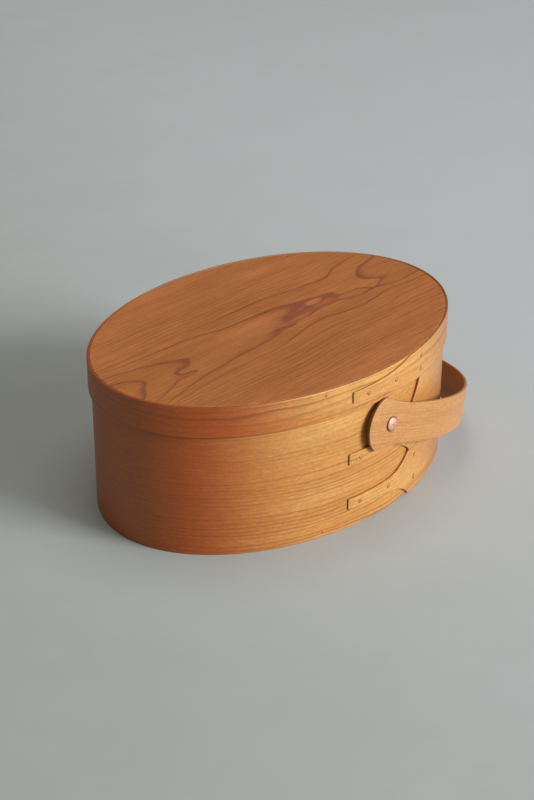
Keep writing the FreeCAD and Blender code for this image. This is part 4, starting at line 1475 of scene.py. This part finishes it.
def peg_cherry():
    """The dotted, dull end grain of a split peg."""
    material, tree, shader = new_material("cut end grain of cherry, pegs")
    where = add(tree, "ShaderNodeTexCoord").outputs["Object"]
    dots = add(tree, "ShaderNodeTexNoise", {"Vector": where, "Scale": 4000.0, "Detail": 2.0})
    colour = add(tree, "ShaderNodeMix", {0: dots, 6: "#8b5029", 7: "#a46a37"}, data_type="RGBA")
    gloss = add(tree, "ShaderNodeMapRange", {0: dots, 3: 0.5, 4: 0.65})
    connect(tree, shader, {"Base Color": colour, "Roughness": gloss})
    return material


peg_wood = peg_cherry()
for name, body, oval, strip, height, node in (
        ("bottom_pegs", "box", BOX_OVAL, BOX_STRIP, 2.75, "base_pegs"),
        ("top_pegs", "lid", LID_OVAL, LID_STRIP, 83.0, "lid_pegs")):
    half_length, half_width = [half + strip + PROUD for half in oval]
    pegs = run_tree(empty_mesh(name), drive_pegs, {
        "Count": PEG_COUNT, "Half length": half_length * MM, "Half width": half_width * MM,
        "Height": height * MM, "Peg width": PEG_WIDTH * MM, "Peg length": PEG_LENGTH * MM,
        "Material": peg_wood})
    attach(pegs, body)
    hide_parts(node)
    print(name, "faces", len(pegs.data.polygons))

# %% [markdown]
# ## Rivets, washers and burrs
#
# A rivet is a body of revolution, so it is turned on a lathe: an outline of radii and heights,
# swept round in many steps. A Screw modifier would do the same, but here each ring of points is
# also pushed in and out a little, as a hammer leaves it. The head is a low dome with a small flat
# in the middle, and the tail is peened over a burr inside the box. The washers and burrs keep their
# CAD meshes.

# %% Turn the rivets
HEAD_BASE, HEAD_RADIUS, HEAD_HEIGHT = 82.88, 4.2, 1.3
HEAD_RIM, HEAD_FLAT = 0.25, 0.4    # height of the head's rim, and radius of the flat on its top
BURR_INNER, TAIL_RADIUS, TAIL_HEIGHT = 76.58, 3.2, 1.0
TAIL_RIM, TAIL_FLAT = 0.2, 0.3
SHANK_RADIUS = 2.0
DOME_DROP, FLAT_DROP = 0.05, 0.04  # how far a dome's rule and its flat stay under full height
HAMMER_DENT = 0.03


def lathe(name, outline, centre, side, steps=64):
    """Revolve (radius, height) points about the pivot's axis. Heights grow outwards from the box."""
    points = []
    for radius, height in outline:
        for i in range(steps):
            turn = WHOLE_TURN * i / steps
            dent = HAMMER_DENT * math.sin(3.0 * turn + radius) * radius / 5.0
            points.append((centre[0] + radius * math.cos(turn) * side,
                           centre[1] + side * (height + dent), centre[2] + radius * math.sin(turn)))
    starts = [row * steps for row in range(len(outline))]
    faces = [(near + i, near + j, far + j, far + i)
             for near, far in zip(starts, starts[1:]) for i, j in neighbours([range(steps)])]
    faces.append(list(range(steps)))
    faces.append(list(range(starts[-1], starts[-1] + steps))[::-1])
    mesh = mesh_in_mm(name, points, faces=faces)
    mark(mesh, "rim", [min(1.0, radius / HEAD_RADIUS) if height > HEAD_BASE - 0.5 else 0.0
                       for radius, height in outline for i in range(steps)])
    mesh.shade_smooth()
    mesh.materials.append(copper)
    return new_object(name, mesh)


head_rise = HEAD_HEIGHT - HEAD_RIM - DOME_DROP
dome = [(HEAD_RADIUS * math.cos(t), HEAD_BASE + HEAD_RIM + head_rise * math.sin(t) ** 1.1)
        for t in quarter_turn(12, 12)]
tail_rise = TAIL_HEIGHT - TAIL_RIM - DOME_DROP
peened = [(TAIL_RADIUS * math.cos(t), BURR_INNER - TAIL_RIM - tail_rise * math.sin(t))
          for t in quarter_turn(8, 8)]
rivet_outline = [(HEAD_FLAT, HEAD_BASE + HEAD_HEIGHT - FLAT_DROP), *dome[::-1],
                 (HEAD_RADIUS - 0.12, HEAD_BASE), (SHANK_RADIUS, HEAD_BASE),
                 (SHANK_RADIUS, BURR_INNER), (TAIL_RADIUS - 0.1, BURR_INNER), *peened,
                 (TAIL_FLAT, BURR_INNER - TAIL_HEIGHT + FLAT_DROP)]
for node, side in (("rivet_front", -1.0), ("rivet_back", 1.0)):
    rivet = lathe("copper_" + node, rivet_outline, (0.0, 0.0, PIVOT_HEIGHT), side)
    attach(rivet, "box")
    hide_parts(node)
    print(rivet.name, "points", len(rivet.data.vertices))
for node in ("washer_front", "washer_back", "burr_front", "burr_back"):
    paint_node(node, copper)

# %% [markdown]
# ## The paper under the box
#
# The box stands on a wide sheet of matt grey paper. A small backdrop would show its edge from the
# side, so the sheet is 60 m wide, and far from the box it passes into one plain tone. The camera
# also sees that tone above the sheet's far edge. It is for the eye only, so it casts no light.

# %% Floor
BACKGROUND = "#adb4b5"
FLOOR_REACH = 30.0                 # metres from the box to the sheet's edges


def seen_directly(tree):
    """1 for the rays that show the background: from the camera, off polish or through glass."""
    path = add(tree, "ShaderNodeLightPath").outputs
    seen = add(tree, "ShaderNodeMath", {0: path["Is Camera Ray"], 1: path["Is Glossy Ray"]},
               operation="MAXIMUM")
    return add(tree, "ShaderNodeMath", {0: seen, 1: path["Is Transmission Ray"]},
               operation="MAXIMUM")


def grey_paper():
    """Matt paper with a faint mottle, and painted light that makes it lighter towards the window's
    side and behind the box.
    """
    material, tree, shader = new_material("matt grey paper")
    where = add(tree, "ShaderNodeTexCoord").outputs["Object"]
    mottle = add(tree, "ShaderNodeTexNoise", {"Vector": where, "Scale": 14.0, "Detail": 8.0,
                                              "Roughness": 0.65})
    mottle = add(tree, "ShaderNodeMapRange", {0: mottle, 1: 0.3, 2: 0.7, 3: -0.1, 4: 0.1})
    # Painted light: the paper is lighter towards the window's side and behind the box.
    along = add(tree, "ShaderNodeVectorMath", {0: where, 1: (1.04, -0.4, 0.0)},
                operation="DOT_PRODUCT")
    painted_window_light = add(tree, "ShaderNodeMapRange", {0: along, 1: -0.35, 2: 0.35},
                interpolation_type="SMOOTHSTEP")
    share = add(tree, "ShaderNodeMath", {0: painted_window_light, 1: mottle}, operation="ADD", use_clamp=True)
    colour = add(tree, "ShaderNodeMix", {0: share, 6: "#9da5a5", 7: "#b4bbc1"}, data_type="RGBA")
    connect(tree, shader, {"Base Color": colour, "Roughness": 0.9})
    # From 1.6 m to 4 m out, the sheet passes into the plain background.
    reach = add(tree, "ShaderNodeVectorMath", {0: where}, operation="LENGTH")
    far = add(tree, "ShaderNodeMapRange", {0: reach, 1: 1.6, 2: 4.0},
              interpolation_type="SMOOTHSTEP")
    share = add(tree, "ShaderNodeMath", {0: far, 1: seen_directly(tree)}, operation="MULTIPLY")
    plain = add(tree, "ShaderNodeEmission", {"Color": BACKGROUND, "Strength": 1.0})
    both = add(tree, "ShaderNodeMixShader", {0: share, 1: shader, 2: plain})
    connect(tree, tree.nodes["Material Output"], {"Surface": both})
    return material


floor_mesh = bpy.data.meshes.new("floor")
corners = ((-1, -1), (1, -1), (1, 1), (-1, 1))
floor_mesh.from_pydata([(x * FLOOR_REACH, y * FLOOR_REACH, 0.0) for x, y in corners], [],
                       [(0, 1, 2, 3)])
floor_mesh.materials.append(grey_paper())
floor_sheet = new_object("floor", floor_mesh)
print("floor", [round(v) for v in floor_sheet.dimensions], "m")

# %% [markdown]
# ## Light
#
# One soft window is in front of the box and a little to its right, 2 m up and 5 m away, so the
# side with the laps is brighter than the top, and the left end falls into shade. A sun lamp would
# give hard shadows. The pale wall round the window gives a wider, weaker light from the same side,
# which softens the shadows further, and the ceiling reaches the top. The room gives a weak warm
# light from everywhere else.

# %% Light
BOX_MIDDLE = (0.0, 0.0, 0.04)


def look_at(obj, target):
    """Turn a lamp or a camera to face a place."""
    obj.rotation_euler = (Vector(target) - obj.location).to_track_quat("-Z", "Y").to_euler()


def soft_light(name, place, target, size, power, colour):
    """A rectangular lamp: its place and size are in metres and its power in watts."""
    lamp = bpy.data.lights.new(name, "AREA")
    lamp.shape = "RECTANGLE"
    lamp.size, lamp.size_y = size
    lamp.energy = power
    lamp.color = linear(colour)[:3]
    obj = new_object(name, lamp)
    obj.location = place
    look_at(obj, target)
    print(name, power, "W")


soft_light("window", (1.35, -4.7, 1.95), BOX_MIDDLE, (2.2, 1.5), 300.0, "#fffefd")
soft_light("pale wall round it", (1.45, -5.0, 2.1), BOX_MIDDLE, (6.4, 3.4), 100.0, "#fffefd")
soft_light("ceiling", (0.2, 0.1, 2.8), (0.2, 0.1, 0.0), (2.2, 2.2), 31.0, "#fffcf6")
world = bpy.data.worlds.new("room")
bpy.context.scene.world = world
world.use_nodes = True
tree = world.node_tree
room = tree.nodes["Background"]
connect(tree, room, {"Color": "#f6e6c8", "Strength": 0.17})
beyond = add(tree, "ShaderNodeBackground", {"Color": BACKGROUND, "Strength": 1.0})
camera_ray = add(tree, "ShaderNodeLightPath").outputs["Is Camera Ray"]
around = add(tree, "ShaderNodeMixShader", {0: camera_ray, 1: room, 2: beyond})
connect(tree, tree.nodes["World Output"], {"Surface": around})

# %% [markdown]
# ## Camera
#
# The camera looks down on the front and the left end from about a metre away. A lens this long
# keeps the far end of the lid nearly as wide as the near end.

# %% Camera
eye = bpy.data.cameras.new("camera")
eye.sensor_fit = "VERTICAL"
eye.sensor_height = 36.0
eye.lens = 78.17
viewer = new_object("camera", eye)
viewer.location = (-0.63423, -0.56777, 0.47514)
look_at(viewer, (0.05347, 0.05252, 0.0))
bpy.context.scene.camera = viewer
bpy.context.scene.view_settings.view_transform = "Standard"
print("camera", round(viewer.location.length, 2), "m from the box's foot")
